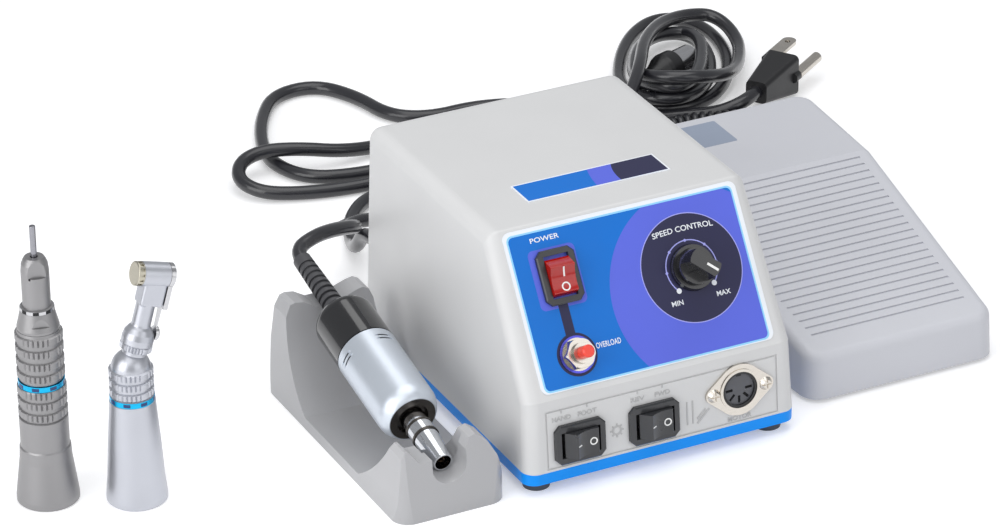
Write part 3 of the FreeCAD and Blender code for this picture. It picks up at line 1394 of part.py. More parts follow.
def pedal_treadle():
    """Hollow treadle with ribbed tread, two hinge ears at the front and two spring cups below the top."""
    def top_edge(edge):
        return middle(edge).z > PEDAL_FRONT_H - 2.5 and not upright(edge)

    outer = treadle_form(0, PEDAL_CORNER_R)
    top_edges = [e for e in outer.Edges if top_edge(e) and not kink_edge(e)]
    outer = outer.makeFillet(PEDAL_TOP_R, top_edges)
    shell = outer.cut(treadle_form(PEDAL_WALL, PEDAL_CORNER_R - PEDAL_WALL)).cut(skirt_cut())
    for side in (-1, 1):
        x0 = side * HINGE_X
        x1 = x0 + side * HINGE_EAR_T
        ear = block(
            min(x0, x1), max(x0, x1), HINGE_Y - HINGE_EAR_R, HINGE_Y + HINGE_EAR_R, HINGE_Z, PEDAL_REAR_H,
        )
        ear = ear.common(treadle_form(PEDAL_WALL / 2, PEDAL_CORNER_R - PEDAL_WALL))
        ear = ear.fuse(rod_x(HINGE_EAR_R, min(x0, x1), max(x0, x1), HINGE_Y, HINGE_Z))
        ear = ear.cut(rod_x(HINGE_PIN_R + RUN_GAP, -PEDAL_W, PEDAL_W, HINGE_Y, HINGE_Z))
        shell = shell.fuse(ear)
        under = PEDAL_REAR_H - PEDAL_WALL
        cup = rod(SPRING_R - SPRING_WIRE_R - 1.2, under - 5, under + 1, side * SPRING_X, SPRING_Y)
        shell = shell.fuse(cup)
    return cut_all(shell, tread_ribs() + [cord_notch()]).removeSplitter()


def cord_notch():
    """Notch in the rear skirt that comes down over the strain relief when the treadle is pressed."""
    half = PEDAL_RELIEF_R + 4 * SLIDE_GAP
    fall = (PEDAL_L - HINGE_Y) * sin(PEDAL_TRAVEL)
    top = PEDAL_RELIEF_Z + PEDAL_RELIEF_R + fall + 4 * SLIDE_GAP
    x = PEDAL_RELIEF_X
    return block(x - half, x + half, PEDAL_L - 4 * PEDAL_WALL, PEDAL_L + 1, 0, top)


def kink_edge(edge):
    return abs(along(edge).x) > 0.9 and abs(middle(edge).y - PEDAL_KINK) < 10


def rear_corner(edge):
    return upright(edge) and middle(edge).y > PEDAL_L / 2


def front_corner(edge):
    return upright(edge) and middle(edge).y < HINGE_Y


def pedal_base():
    """Shallow tray on the table inside the skirts, with two hinge ears, spring posts and a cord outlet."""
    inset = PEDAL_WALL + PEDAL_BASE_GAP
    z0, z1 = PEDAL_FOOT_H, BASE_FLOOR_Z
    form = rounded(pedal_plan(inset, z0, z1 + PEDAL_RIM_H), PEDAL_CORNER_R, rear_corner)
    form = rounded(form, PEDAL_BASE_FRONT_R, front_corner)
    inside = rounded(
        pedal_plan(inset + PEDAL_WALL, z1, z1 + PEDAL_RIM_H), PEDAL_CORNER_R - PEDAL_WALL, rear_corner,
    )
    low_front = block(-PEDAL_W, PEDAL_W, 0, HINGE_Y + HINGE_EAR_R + 2, HINGE_Z, PEDAL_REAR_H)
    base = form.cut(inside).cut(low_front)
    for side in (-1, 1):
        x0 = side * (HINGE_X - SLIDE_GAP)
        x1 = x0 - side * HINGE_EAR_T
        ear = block(min(x0, x1), max(x0, x1), HINGE_Y - HINGE_EAR_R, HINGE_Y + HINGE_EAR_R, z1, HINGE_Z)
        ear = ear.fuse(rod_x(HINGE_EAR_R - 0.4, min(x0, x1), max(x0, x1), HINGE_Y, HINGE_Z))
        base = base.fuse(ear.cut(rod_x(HINGE_PIN_R + FIT_GAP, -PEDAL_W, PEDAL_W, HINGE_Y, HINGE_Z)))
        base = base.fuse(rod(SPRING_R - SPRING_WIRE_R - 1.2, z1, z1 + 5, side * SPRING_X, SPRING_Y))
    outlet = rod_y(
        PEDAL_RELIEF_R + FIT_GAP, PEDAL_L - inset - PEDAL_WALL - 1, PEDAL_L, PEDAL_RELIEF_X,
        PEDAL_RELIEF_Z,
    )
    for x, y in pedal_foot_places():
        base = base.cut(rod(2.0 + FIT_GAP, z0, z1, x, y))
    return base.cut(outlet).removeSplitter()


def pedal_foot_places():
    front, rear = PEDAL_FOOT_INSET, PEDAL_L - PEDAL_FOOT_INSET
    half = PEDAL_W / 2 - PEDAL_FOOT_INSET
    return [(-half, front), (half, front), (-half - 5, rear), (half + 5, rear)]


def pedal_feet():
    feet = []
    for x, y in pedal_foot_places():
        foot = cone(PEDAL_FOOT_R - 0.8, PEDAL_FOOT_R, 0, PEDAL_FOOT_H, x, y)
        feet.append(foot.fuse(rod(2.0, PEDAL_FOOT_H, BASE_FLOOR_Z, x, y)))
    return feet


def pedal_hinge_pin():
    half = HINGE_X + HINGE_EAR_T + 1.5
    return rod_x(HINGE_PIN_R, -half, half, HINGE_Y, HINGE_Z)


def pedal_springs():
    """Two compression springs of six-sided wire between the base's floor and the treadle's underside."""
    z0 = BASE_FLOOR_Z + SPRING_WIRE_R + 0.1
    z1 = PEDAL_REAR_H - PEDAL_WALL - SPRING_WIRE_R - 0.1
    radius = SPRING_R - SPRING_WIRE_R
    helix = Part.makeHelix((z1 - z0) / SPRING_TURNS, z1 - z0, radius)
    turns = [math.radians(60 * i) for i in range(6)]
    corners = [V(radius + SPRING_WIRE_R * math.cos(t), 0, SPRING_WIRE_R * math.sin(t)) for t in turns]
    section = outline(corners)
    wire = Part.Wire(helix).makePipeShell([section], True, True)
    springs = []
    for side in (-1, 1):
        spring = wire.copy()
        spring.translate(V(side * SPRING_X, SPRING_Y, z0))
        springs.append(spring)
    return springs


def pedal_sensor():
    """Small upright board with its sensor chip, in line with the magnet below the treadle."""
    z1 = BASE_FLOOR_Z
    board = block(-9, 9, SPRING_Y - 20, SPRING_Y - 18.4, z1, z1 + 14)
    foot = block(-7, 7, SPRING_Y - 24, SPRING_Y - 14, z1, z1 + 3)
    chip = block(-2, 2, SPRING_Y - 22, SPRING_Y - 20, z1 + 9, z1 + 13)
    return joined([board, foot, chip])


def pedal_magnet():
    """Disc magnet on a stem that hangs from the treadle in front of the sensor."""
    top = PEDAL_REAR_H - PEDAL_WALL
    stem = rod(MAGNET_R, top - 12, top, 0, PEDAL_KINK + MAGNET_R + 1)
    return rounded(stem, 0.5, lambda e: abs(middle(e).z - (top - 12)) < 0.1 and len(e.Vertexes) == 1)


def pedal_strain_relief():
    """Tapered sleeve of the pedal cord, held in the base's rear wall."""
    wall_out, wall_in = BASE_WALL_OUT, BASE_WALL_OUT - PEDAL_WALL
    x, z = PEDAL_RELIEF_X, PEDAL_RELIEF_Z
    body = rod_y(PEDAL_RELIEF_R, wall_in - 2, wall_out + 2, x, z)
    body = body.fuse(rod_y(PEDAL_RELIEF_R + PEDAL_RELIEF_RIM, wall_in - 2, wall_in - FIT_GAP, x, z))
    sleeve = Part.makeCone(
        PEDAL_RELIEF_R - 0.5, PEDAL_CORD_R + 0.8, PEDAL_RELIEF_L, V(x, wall_out + 2, z), V(0, 1, 0),
    )
    return body.fuse(sleeve).removeSplitter()


# Handpieces, drawn upright on their open rear ends

STRAIGHT = Placement(V(CRADLE_LEFT - STRAIGHT_FROM_CRADLE, STRAIGHT_Y, 0), Rotation())
CONTRA = Placement(V(CRADLE_LEFT - CONTRA_FROM_CRADLE, CONTRA_Y, 0), Rotation())


def knurl_band(radius, height, z):
    """Outline points of one raised grip ring on a body, from its lower to its upper edge."""
    rise = KNURL_RISE
    return [
        (radius, z - height / 2), (radius + rise, z - height / 2 + 0.4),
        (radius + rise, z + height / 2 - 0.4), (radius, z + height / 2),
    ]


def banded(radius, heights, height):
    points = []
    for z in heights:
        points += knurl_band(radius, height, z)
    return points


def fluted(shape, radius, z0, z1):
    """Cuts groups of fine V grooves along Z into the grip rings of a round form."""
    half = FLUTE_DEPTH / math.sqrt(2)
    groove = block(-half, half, -half, half, z0, z1)
    groove.rotate(V(0, 0, 0), V(0, 0, 1), 45)
    groove.translate(V(radius, 0, 0))
    tools = []
    for group in range(FLUTE_GROUPS):
        middle_turn = FLUTE_TURN + 360 / FLUTE_GROUPS * group
        for i in range(FLUTES_IN_GROUP):
            tool = groove.copy()
            tool.rotate(V(0, 0, 0), V(0, 0, 1), middle_turn + (i - (FLUTES_IN_GROUP - 1) / 2) * FLUTE_STEP)
            tools.append(tool)
    return shape.cut(tools)


def straight_body():
    """Rear shell with a flared foot, a waist, three grip rings, the motor socket and the core tube."""
    grip = STRAIGHT_WAIST_R - 0.2 - KNURL_RISE
    blue = STRAIGHT_BLUE_Z
    points = [
        (SOCKET_R, 0), (STRAIGHT_BASE_R - 0.5, 0), (STRAIGHT_BASE_R, 0.5), (STRAIGHT_BASE_R, 2.5),
        (STRAIGHT_WAIST_R + 1.6, 9.0), (STRAIGHT_WAIST_R + 0.45, 18.0), (STRAIGHT_WAIST_R + 0.2, 22.8),
        (STRAIGHT_WAIST_R - 0.2, 23.4), (STRAIGHT_WAIST_R - 0.2, 35.4), (grip, 35.8),
    ]
    points += banded(grip, (38.0, 42.8, 47.2), KNURL_H)[:-1]
    points += [
        (grip + KNURL_RISE - 0.2, blue), (grip - 0.6, blue), (grip - 0.6, STRAIGHT_RING_Z),
        (CORE_TUBE_R, STRAIGHT_RING_Z),
    ]
    points += [
        (CORE_TUBE_R, STRAIGHT_NOSE_Z - 2), (SPINDLE_R + 1.6, STRAIGHT_NOSE_Z - 2),
        (SPINDLE_R + 1.6, SOCKET_DEPTH),
    ]
    points += [(SOCKET_R, SOCKET_DEPTH)]
    return fluted(turned(points), grip + KNURL_RISE, 35.8, blue - FIT_GAP)


def straight_blue_ring():
    outer = STRAIGHT_WAIST_R - 0.3
    inner = STRAIGHT_WAIST_R - 0.8 - KNURL_RISE + FIT_GAP
    return ring(outer - 0.35, inner, STRAIGHT_BLUE_Z + FIT_GAP, STRAIGHT_BLUE_Z + BLUE_RING_H)


def straight_chuck_ring():
    """Turning ring that opens the chuck, with four grip rings and a stepped front edge."""
    grip = STRAIGHT_GRIP_R
    z0, z1 = STRAIGHT_RING_Z + 0.1, STRAIGHT_COLLAR_Z - 0.1
    points = [(CORE_TUBE_R + RUN_GAP, z0), (grip, z0)]
    points += banded(grip, (54.1, 59.1, 64.3, 69.2), KNURL_H)
    points += [(grip - 0.2, z1), (CORE_TUBE_R + RUN_GAP, z1)]
    return fluted(turned(points), grip + KNURL_RISE, z0 + 0.5, z1 - 0.5)


def straight_nose():
    """Cone collar and slim nose, each with a flat on one side, and a small vent hole."""
    z0, z1, top = STRAIGHT_COLLAR_Z, STRAIGHT_NOSE_Z, STRAIGHT_TOP_Z
    tip = SPINDLE_R + RUN_GAP + 0.5
    points = [
        (CORE_TUBE_R + FIT_GAP, z0), (7.9, z0), (7.95, z0 + 1.0), (6.35, z1), (6.0, z1), (6.2, z1 + 0.2),
        (6.2, z1 + 1.2),
        (5.25, z1 + 1.5), (5.25, top - 5.5), (4.9, top - 2.5), (4.2, top - 0.8), (3.65, top),
        (BUR_R + 0.3, top),
        (BUR_R + 0.3, top - 2), (SPINDLE_R + RUN_GAP + 0.25, top - 2),
        (SPINDLE_R + RUN_GAP + 0.25, z1 - 2 + FIT_GAP),
        (CORE_TUBE_R + FIT_GAP, z1 - 2 + FIT_GAP),
    ]
    nose = turned(points)
    flat = block(-6, 6, -9, -NOSE_FLAT_AT, top - NOSE_FLAT_L, top)
    collar_flat = block(-6, 6, -9, -COLLAR_FLAT_AT, z0 + COLLAR_FLAT_UP, z1 - 0.1)
    hole = rod_y(VENT_R, -9, -CORE_TUBE_R + 1.0, 0, top - VENT_DOWN)
    for tool, turn in ((flat, STRAIGHT_FLAT_TURN), (collar_flat, STRAIGHT_FLAT_TURN), (hole, VENT_TURN)):
        tool.rotate(V(0, 0, 0), V(0, 0, 1), turn)
        nose = nose.cut(tool)
    return nose


def tail_sides(z0):
    """What is cut from the end of a shaft so that a flat tail is left, which fits the motor's driver."""
    flat = block(-SPINDLE_R, SPINDLE_R, -TAIL_HALF, TAIL_HALF, z0, z0 + TAIL_L)
    return rod(SPINDLE_R + 1, z0, z0 + TAIL_L).cut(flat)


def straight_spindle():
    """Hollow collet spindle that turns inside the core tube and grips the bur."""
    z0, z1 = SOCKET_DEPTH - 9.0, STRAIGHT_TOP_Z - 2.5
    spindle = rod(SPINDLE_R, z0, z1)
    spindle = spindle.cut(rod(BUR_R + FIT_GAP, BUR_SEAT_Z, z1))
    return spindle.cut(tail_sides(z0))


def straight_bur():
    shank = rod(BUR_R, BUR_SEAT_Z, BUR_TOP_Z)
    return rounded(shank, 0.3, lambda e: middle(e).z > BUR_TOP_Z - 0.1 and len(e.Vertexes) == 1)


HEAD = CONTRA.multiply(Placement(V(0, 0, BEND_Z), Rotation(V(0, 1, 0), CONTRA_TILT)))


def contra_body():
    """Rear shell: flared foot, long taper, three grip rings and the ball that the neck leans out of."""
    blue = CONTRA_BLUE_Z
    r = CONTRA_BASE_R
    points = [
        (SOCKET_R, 0), (r - 0.5, 0), (r, 0.5), (r, 2.0), (r - 0.8, 10.0), (r - 1.6, 24.0),
        (8.62, blue - 0.2),
        (8.3, blue), (7.6, blue), (7.6, blue + BLUE_RING_H), (8.3, blue + BLUE_RING_H),
    ]
    points += banded(CONTRA_GRIP_R, (46.0, 50.0, 54.0), 3.0)
    body = turned(
        points + [
            (CONTRA_GRIP_R - 0.2, BEND_Z + 0.6), (SPINDLE_R + 1.2, BEND_Z + 0.6),
            (SPINDLE_R + 1.2, SOCKET_DEPTH), (SOCKET_R, SOCKET_DEPTH),
        ]
    )
    body = fluted(body, CONTRA_GRIP_R + KNURL_RISE, blue + BLUE_RING_H + 0.1, BEND_Z + 0.4)
    ball = Part.makeSphere(BALL_R, V(0, 0, BEND_Z))
    ball = ball.cut(
        rod(SPINDLE_R + 1.2, BEND_Z - 9, BEND_Z + 0.6)
    ).cut(rod(BALL_R + 1, BEND_Z - 9, BEND_Z - 1.5))
    spout = rod(4.6, 4.0, 9.6).cut(rod(2.2, 0, 10))
    lean = Placement(V(0, 0, BEND_Z), Rotation(V(0, 1, 0), CONTRA_TILT))
    ball = ball.fuse(placed(spout, lean)).cut(placed(rod(2.2, 0, 10), lean))
    return body.fuse(ball).removeSplitter()


def contra_blue_ring():
    return ring(8.45, 7.6 + FIT_GAP, CONTRA_BLUE_Z + FIT_GAP, CONTRA_BLUE_Z + BLUE_RING_H - FIT_GAP)


def contra_neck_ring():
    """Knurled ring at the foot of the neck, drawn along the leaning axis."""
    points = [(4.6 + FIT_GAP, 7.6), (5.6, 7.6), (6.1, 8.0), (6.1, 9.8), (5.7, 10.2), (4.6 + FIT_GAP, 10.2)]
    return fluted(turned(points), 6.1, 7.7, 10.1)


def contra_head():
    """Bell, neck and head in one piece: the head's axis stands square to the neck."""
    n, at, r = CONTRA_NECK_R, HEAD_AT, HEAD_R
    bell = turned(
        [
            (2.0, 10.3), (6.0, 10.3), (6.05, 12.5), (5.6, 14.6), (4.5, 16.4), (n + 0.1, 17.2), (n, 18),
            (n, at - 4), (2.0, at - 4),
        ]
    )
    web = block(-n, HEAD_FRONT, -n, n, at - 12.0, at)
    web = rounded(web, 1.2, lambda e: abs(middle(e).z - (at - 12.0)) < 0.1 or upright(e))
    head = rod_x(r, -HEAD_BACK, HEAD_FRONT, 0, at)
    whole = bell.fuse(web).fuse(head)
    bore = rod_x(2.9, -HEAD_BACK, HEAD_FRONT, 0, at)
    room = block(HEAD_FRONT, BALL_R + 1, -BALL_R, BALL_R, LATCH_PAD_AT - 3.4, at)
    return whole.cut(bore).cut(rod(2.0, 10, at - 2.6)).cut(room).removeSplitter()


def contra_cap():
    """Round screwed cap on the back of the head, with grip notches round it."""
    x0, x1 = -HEAD_BACK - HEAD_CAP_T, -HEAD_BACK - FIT_GAP
    cap = rod_x(HEAD_CAP_R, x0, x1, 0, HEAD_AT)
    cap = rounded(cap, 0.5, lambda e: middle(e).x < x0 + 0.1 and len(e.Vertexes) == 1)
    notch = block(
        x0 + 0.8, x1 - 0.4, -0.5, 0.5, HEAD_AT + HEAD_CAP_R - CAP_NOTCH_DEPTH, HEAD_AT + HEAD_CAP_R + 1,
    )
    notches = []
    for i in range(CAP_NOTCH_COUNT):
        tool = notch.copy()
        tool.rotate(V(0, 0, HEAD_AT), V(1, 0, 0), 360 / CAP_NOTCH_COUNT * i)
        notches.append(tool)
    return cap.cut(notches)


def contra_chuck():
    """Rotor in the head that holds the bur's shank, with a gear at its back."""
    x0, x1 = -HEAD_BACK + 0.3, HEAD_FRONT - 0.3
    body = rod_x(2.0, x0, x1, 0, HEAD_AT).fuse(rod_x(2.7, x0, x0 + 2.0, 0, HEAD_AT))
    return body.cut(rod_x(BUR_R + FIT_GAP, x0 + 3, x1, 0, HEAD_AT))


def contra_latch():
    """Latch plate over the bur's hole, with an arm down the neck and a round thumb pad."""
    x0 = HEAD_FRONT + LATCH_GAP
    x1 = x0 + LATCH_T
    plate_r = HEAD_R
    disc = rod_x(plate_r, x0, x1, 0, HEAD_AT).fuse(block(x0, x1, -3.4, 3.4, HEAD_AT - 12.6, HEAD_AT))
    arm = prism_x(
        [(-1.4, HEAD_AT - 12.0), (1.4, HEAD_AT - 12.0), (0.8, LATCH_PAD_AT), (-0.8, LATCH_PAD_AT)], x0,
        x0 + 0.6,
    )
    pad = rod_x(2.75, x0, x0 + 1.6, 0, LATCH_PAD_AT)
    pad = rounded(pad, 0.5, lambda e: middle(e).x > x0 + 1.5 and len(e.Vertexes) == 1)
    hole = rod_x(BUR_R + 0.3, x0 - 1, x1 + 1, 0, HEAD_AT)
    return joined([disc, arm, pad]).cut(hole)


def contra_neck_shaft():
    """Drive shaft inside the neck."""
    return rod(1.2, 8.0, HEAD_AT - 3.2).fuse(rod(1.8, HEAD_AT - 5.0, HEAD_AT - 3.2))


def contra_rear_shaft():
    """Drive shaft from the motor socket to the bend, with a flat tail that fits the motor's driver."""
    z0, z1 = SOCKET_DEPTH - 9.0, BEND_Z - 2.0
    shaft = rod(SPINDLE_R, z0, z1)
    return shaft.cut(tail_sides(z0))


# Cords and plugs, drawn in the layout of the whole set

def bend_radius(before, corner, after):
    """Radius of the arc that rounds a corner of a cord's route, from the shorter of its two runs."""
    way_in, way_out = corner.sub(before), after.sub(corner)
    half_turn = way_in.getAngle(way_out) / 2
    return 0.45 * min(way_in.Length, way_out.Length) / math.tan(half_turn)


def cord_tube(name, radius, points):
    """Round cord of straight runs joined by tangent arcs; prints its length and its tightest bend."""
    route = [V(*p) for p in points]
    edges = []
    start = route[0]
    bends = []
    for before, corner, after in zip(route, route[1:], route[2:]):
        arc_r = bend_radius(before, corner, after)
        bends.append(arc_r)
        way_in, way_out = corner.sub(before).normalize(), after.sub(corner).normalize()
        half_turn = way_in.getAngle(way_out) / 2
        reach = arc_r * math.tan(half_turn)
        first, last = corner.sub(way_in * reach), corner.add(way_out * reach)
        inward = way_out.sub(way_in).normalize()
        centre = corner.add(inward * (arc_r / math.cos(half_turn)))
        top = centre.sub(inward * arc_r)
        edges.append(Part.LineSegment(start, first).toShape())
        edges.append(Part.Arc(first, top, last).toShape())
        start = last
    edges.append(Part.LineSegment(start, route[-1]).toShape())
    path = Part.Wire(edges)
    way = route[1].sub(route[0])
    section = Part.Face(Part.Wire(Part.makeCircle(radius, route[0], way)))
    tube = path.makePipe(section)
    share = tube.Volume / (math.pi * radius * radius * path.Length)
    print(name, "length", round(path.Length), "bend", round(min(bends), 1), "volume share", round(share, 3))
    return tube


def aimed(at, heading, pitch=0.0):
    """Place whose Z axis points along a heading (degrees from +X) and a pitch, with its X axis upwards."""
    turn = Rotation(V(0, 0, 1), heading).multiply(Rotation(V(0, 1, 0), 90 - pitch))
    return Placement(V(*at), turn.multiply(Rotation(V(0, 0, 1), 180)))


def on_line(place, x, y, *heights):
    """Points on a line along a place's Z axis."""
    return [tuple(place.multVec(V(x, y, z))) for z in heights]


REAR_ROW_UP = -(REAR_ROW_Z - HOUSING_Z)
MAINS_PLUG = aimed(MAINS_PLUG_AT, MAINS_PLUG_HEADING)
MOTOR_PLUG = aimed(MOTOR_PLUG_AT, MOTOR_PLUG_HEADING)
PEDAL_START = (PEDAL_X + PEDAL_RELIEF_X, PEDAL_FRONT + PEDAL_RELIEF_END, PEDAL_RELIEF_Z)


def mains_cord():
    """Mains lead: two loose loops left of the control unit, then behind it to its plug on the right."""
    z = FLOOR_Z
    leaving = on_line(REAR_WALL, GLAND_X, REAR_ROW_UP, GLAND_L, GLAND_L + LEAVING_L)
    points = leaving + [
        (-34.5, 200, 9), (-30, 215, z), (-22, 235, z), (-7, 250, z), (14, 252, z),
        (40, 249, z), (72, 250, z), (97, 260, z), (104, 281, z), (94, 300, z), (72, 308, z), (50, 307, z),
        (35, 317, z), (31, 340, z), (20, 360, z), (-1, 359, z), (-15, 340, z), (-25, 318, z), (-29, 298, z),
        (-22, 279, z), (-4, 271.5, z), (22, 270.5, z), (44, 270, z), (58, 270, z), (67, 278, z),
        (67, 290, z),
        (58, 298.2, z), (42, 297, z), (22, 291, z), (0, 288, 6.5), (-18, 292, 10.2), (-33, 298, 10),
        (-45, 295, 8.5),
        (-50.5, 284, 6), (-45, 273, 4), (-32, 267, z), (-14, 262, z), (6, 260.5, z), (34, 260, z),
        (64, 261, z),
        (84, 263, 4), (98, 265, 10.4), (114, 264, 4), (132, 262, z), (149, 258.5, z), (160, 250, 5),
    ] + on_line(MAINS_PLUG, 0, 0, -PLUG_LEAD_L, 0)
    return cord_tube("mains_cord", MAINS_R, points)


def mains_plug():
    """Moulded plug with two flat blades, each with a hole, and a round earth pin beside them."""
    rear = [V(5.0, y, 0) for y in (-5.0, 5.0)] + [V(-5.0, y, 0) for y in (5.0, -5.0)]
    front = [V(9.4, y, PLUG_L) for y in (-6.5, 9.0)] + [V(-9.4, y, PLUG_L) for y in (9.0, -6.5)]
    body = Part.makeLoft([outline(rear), outline(front)], True, True)
    body = rounded(body, 2.4, lambda e: 1 < middle(e).z < PLUG_L - 1)
    body = body.fuse(Part.makeCone(MAINS_R + 1.0, MAINS_R + 1.8, 3, V(0, 0, 0)))
    for side in (-1, 1):
        x = side * PLUG_BLADE_PITCH / 2
        y = -PLUG_PIN_OFF / 3
        blade = block(
            x - PLUG_BLADE_T / 2, x + PLUG_BLADE_T / 2, y - PLUG_BLADE_W / 2, y + PLUG_BLADE_W / 2,
            PLUG_L - 4, PLUG_L + PLUG_BLADE_L,
        )
        tip = rod_x(PLUG_BLADE_W / 2, x - PLUG_BLADE_T / 2, x + PLUG_BLADE_T / 2, y, PLUG_L + PLUG_BLADE_L)
        hole = rod_x(1.5, x - PLUG_BLADE_T, x + PLUG_BLADE_T, y, PLUG_L + PLUG_BLADE_L - 1.5)
        body = body.fuse(blade.fuse(tip).cut(hole))
    pin_y = 2 * PLUG_PIN_OFF / 3
    pin = rod(PLUG_PIN_R, PLUG_L - 4, PLUG_L + PLUG_PIN_L, 0, pin_y)
    pin = rounded(pin, 1.4, lambda e: middle(e).z > PLUG_L + PLUG_PIN_L - 0.1 and len(e.Vertexes) == 1)
    return placed(body.fuse(pin), MAINS_PLUG)


def motor_cord():
    """Motor cord from its strain relief down behind the control unit and up onto the put-away loops."""
    z = FLOOR_Z
    relief_end = CAP_END + RELIEF_L
    points = on_line(MOTOR, 0, 0, relief_end, relief_end + MOTOR_LEAVING_L) + [
        (-77, 145.5, 49), (-65, 152.5, 46), (-50, 162.5, 39.5), (-48, 180, 30), (-44, 195, 22.5),
        (-28, 203, 19.5),
        (-6, 207, 11), (16, 208, z), (45, 212, z), (72, 223, z), (96, 240, z), (110, 250, 10),
        (126, 263, 12.5), (139, 273, 13),
    ]
    tail = placed(rod(MOTOR_CORD_R, -MOTOR_TAIL_L, 0), MOTOR_PLUG)
    return [cord_tube("motor_cord", MOTOR_CORD_R, points), tail]


def motor_cord_coil():
    """Put-away loops of the motor cord: one flat oval band, its near end raised by the mains lead."""
    half = LOOP_BAND_W / 2
    path = Part.Wire(Part.Ellipse(V(0, 0, 0), LOOP_LONG, LOOP_SHORT).toShape())
    outer = Part.Face(Part.Wire(Part.Ellipse(V(0, 0, 0), LOOP_LONG + half, LOOP_SHORT + half).toShape()))
    inner = Part.Face(Part.Wire(Part.Ellipse(V(0, 0, 0), LOOP_LONG - half, LOOP_SHORT - half).toShape()))
    band = outer.extrude(V(0, 0, LOOP_BAND_H)).cut(inner.extrude(V(0, 0, LOOP_BAND_H)))
    band = band.makeFillet(LOOP_BAND_W * 0.45, [e for e in band.Edges if len(e.Vertexes) == 1])
    print(
        "motor_cord_coil volume", round(band.Volume), "of",
        round(math.pi * MOTOR_CORD_R ** 2 * path.Length * 4),
    )
    band.rotate(V(LOOP_LONG + half, 0, 0), V(0, 1, 0), LOOP_LEAN)
    place = Placement(V(*LOOP_CENTRE), Rotation(V(0, 0, 1), LOOP_TURN))
    return placed(band, place)


def motor_plug():
    """Round plug: metal shell round an insulator with a half ring of pins, and a tapered rubber grip."""
    grip_end = MOTOR_PLUG_L - MOTOR_PLUG_SHELL_L
    grip = turned([
        (0, 0), (MOTOR_CORD_R + 1.2, 0), (MOTOR_CORD_R + 2.2, 3), (MOTOR_PLUG_GRIP_R - 0.6, 7),
        (MOTOR_PLUG_GRIP_R, 9),
        (MOTOR_PLUG_GRIP_R, grip_end), (0, grip_end),
    ])
    shell = ring(MOTOR_PLUG_R, MOTOR_PLUG_R - 0.6, grip_end, MOTOR_PLUG_L)
    inside = rod(MOTOR_PLUG_R - 0.6, grip_end, MOTOR_PLUG_L - 6)
    body = joined([grip, shell, inside])
    for i in range(DIN_PIN_COUNT):
        turn = -DIN_PIN_SPAN / 2 + i * DIN_PIN_SPAN / (DIN_PIN_COUNT - 1)
        pin = rod(
            DIN_PIN_R, MOTOR_PLUG_L - 8, MOTOR_PLUG_L - 1, DIN_PIN_CIRCLE * sin(turn),
            DIN_PIN_CIRCLE * cos(turn),
        )
        body = body.fuse(pin)
    return placed(body, MOTOR_PLUG)


def pedal_cord():
    """Pedal cord: a straight tail at each end and a curled stretch between, drawn as its outer tube."""
    curl = CURL_R + 0.1
    near, far = (164, 212.5, curl), (62, 201.5, curl)
    x, y, leaving_z = PEDAL_START
    tail = [PEDAL_START, (x, y + 6.5, leaving_z), (x + 6.5, 212.5, 6), (150, 212.5, curl), near]
    curled = [
        near, (178, 212.5, curl), (187.5, 220.5, curl), (187.5, 231, curl), (176, 236.5, curl),
        (160, 240, curl),
        (147, 245.5, curl), (132, 246, curl),
        (116, 237, curl), (100, 226, curl), (80, 211, curl), far,
    ]
    plug_end = PEDAL_SOCKET_PROUD + PEDAL_PLUG_L
    rear = [far, (48, 194.1, curl), (37, 193, 14)] + on_line(
        REAR_WALL, PEDAL_SOCKET_X, REAR_ROW_UP, plug_end + PLUG_LEAD_L, plug_end,
    )
    return [
        cord_tube("pedal_cord tail", PEDAL_CORD_R, tail),
        cord_tube("pedal_cord curls", CURL_R, curled),
        cord_tube("pedal_cord rear", PEDAL_CORD_R, rear),
    ]


def pedal_plug():
    """Round plug in the pedal socket with a tapered rubber grip."""
    at = V(PEDAL_SOCKET_X, REAR_ROW_UP, 0)
    proud = PEDAL_SOCKET_PROUD
    body = turned([
        (0, -4), (PEDAL_SOCKET_BORE_R - FIT_GAP, -4), (PEDAL_SOCKET_BORE_R - FIT_GAP, proud),
        (PEDAL_PLUG_R, proud),
        (PEDAL_PLUG_R, proud + 14), (PEDAL_PLUG_R - 1.2, proud + 16),
        (PEDAL_CORD_R + 1.0, proud + PEDAL_PLUG_L), (0, proud + PEDAL_PLUG_L),
    ])
    body.translate(at)
    return placed(body, REAR_WALL)


# Output

LEFT_END = CRADLE_LEFT - STRAIGHT_FROM_CRADLE - STRAIGHT_BASE_R
RIGHT_END = PEDAL_X + PEDAL_W / 2 + PEDAL_L * tan(PEDAL_SPLAY) - PEDAL_SKIRT_REAR * tan(PEDAL_DRAFT)
FRONT_END = -rocker_end_height()
REAR_END = PEDAL_FRONT + PEDAL_RELIEF_END
ORIGIN_SHIFT = V(-(LEFT_END + RIGHT_END) / 2, -(FRONT_END + REAR_END) / 2, 0)


def write(node, shapes, place=None):
    """Writes one node's solids to its own file, moved to the set's origin."""
    shapes = shapes if isinstance(shapes, list) else [shapes]
    moved = []
    for shape in shapes:
        for solid in shape.Solids:
            solid = placed(solid, place) if place else solid.copy()
            solid.translate(ORIGIN_SHIFT)
            moved.append(solid)
    whole = moved[0] if len(moved) == 1 else Part.makeCompound(moved)
    whole.exportStep(os.path.join("parts", node + ".step"))
    bad = [s for s in moved if not s.isValid() or s.Volume < 0]
    print(node, len(moved), round(whole.Volume, 1), "BAD" if bad else "")


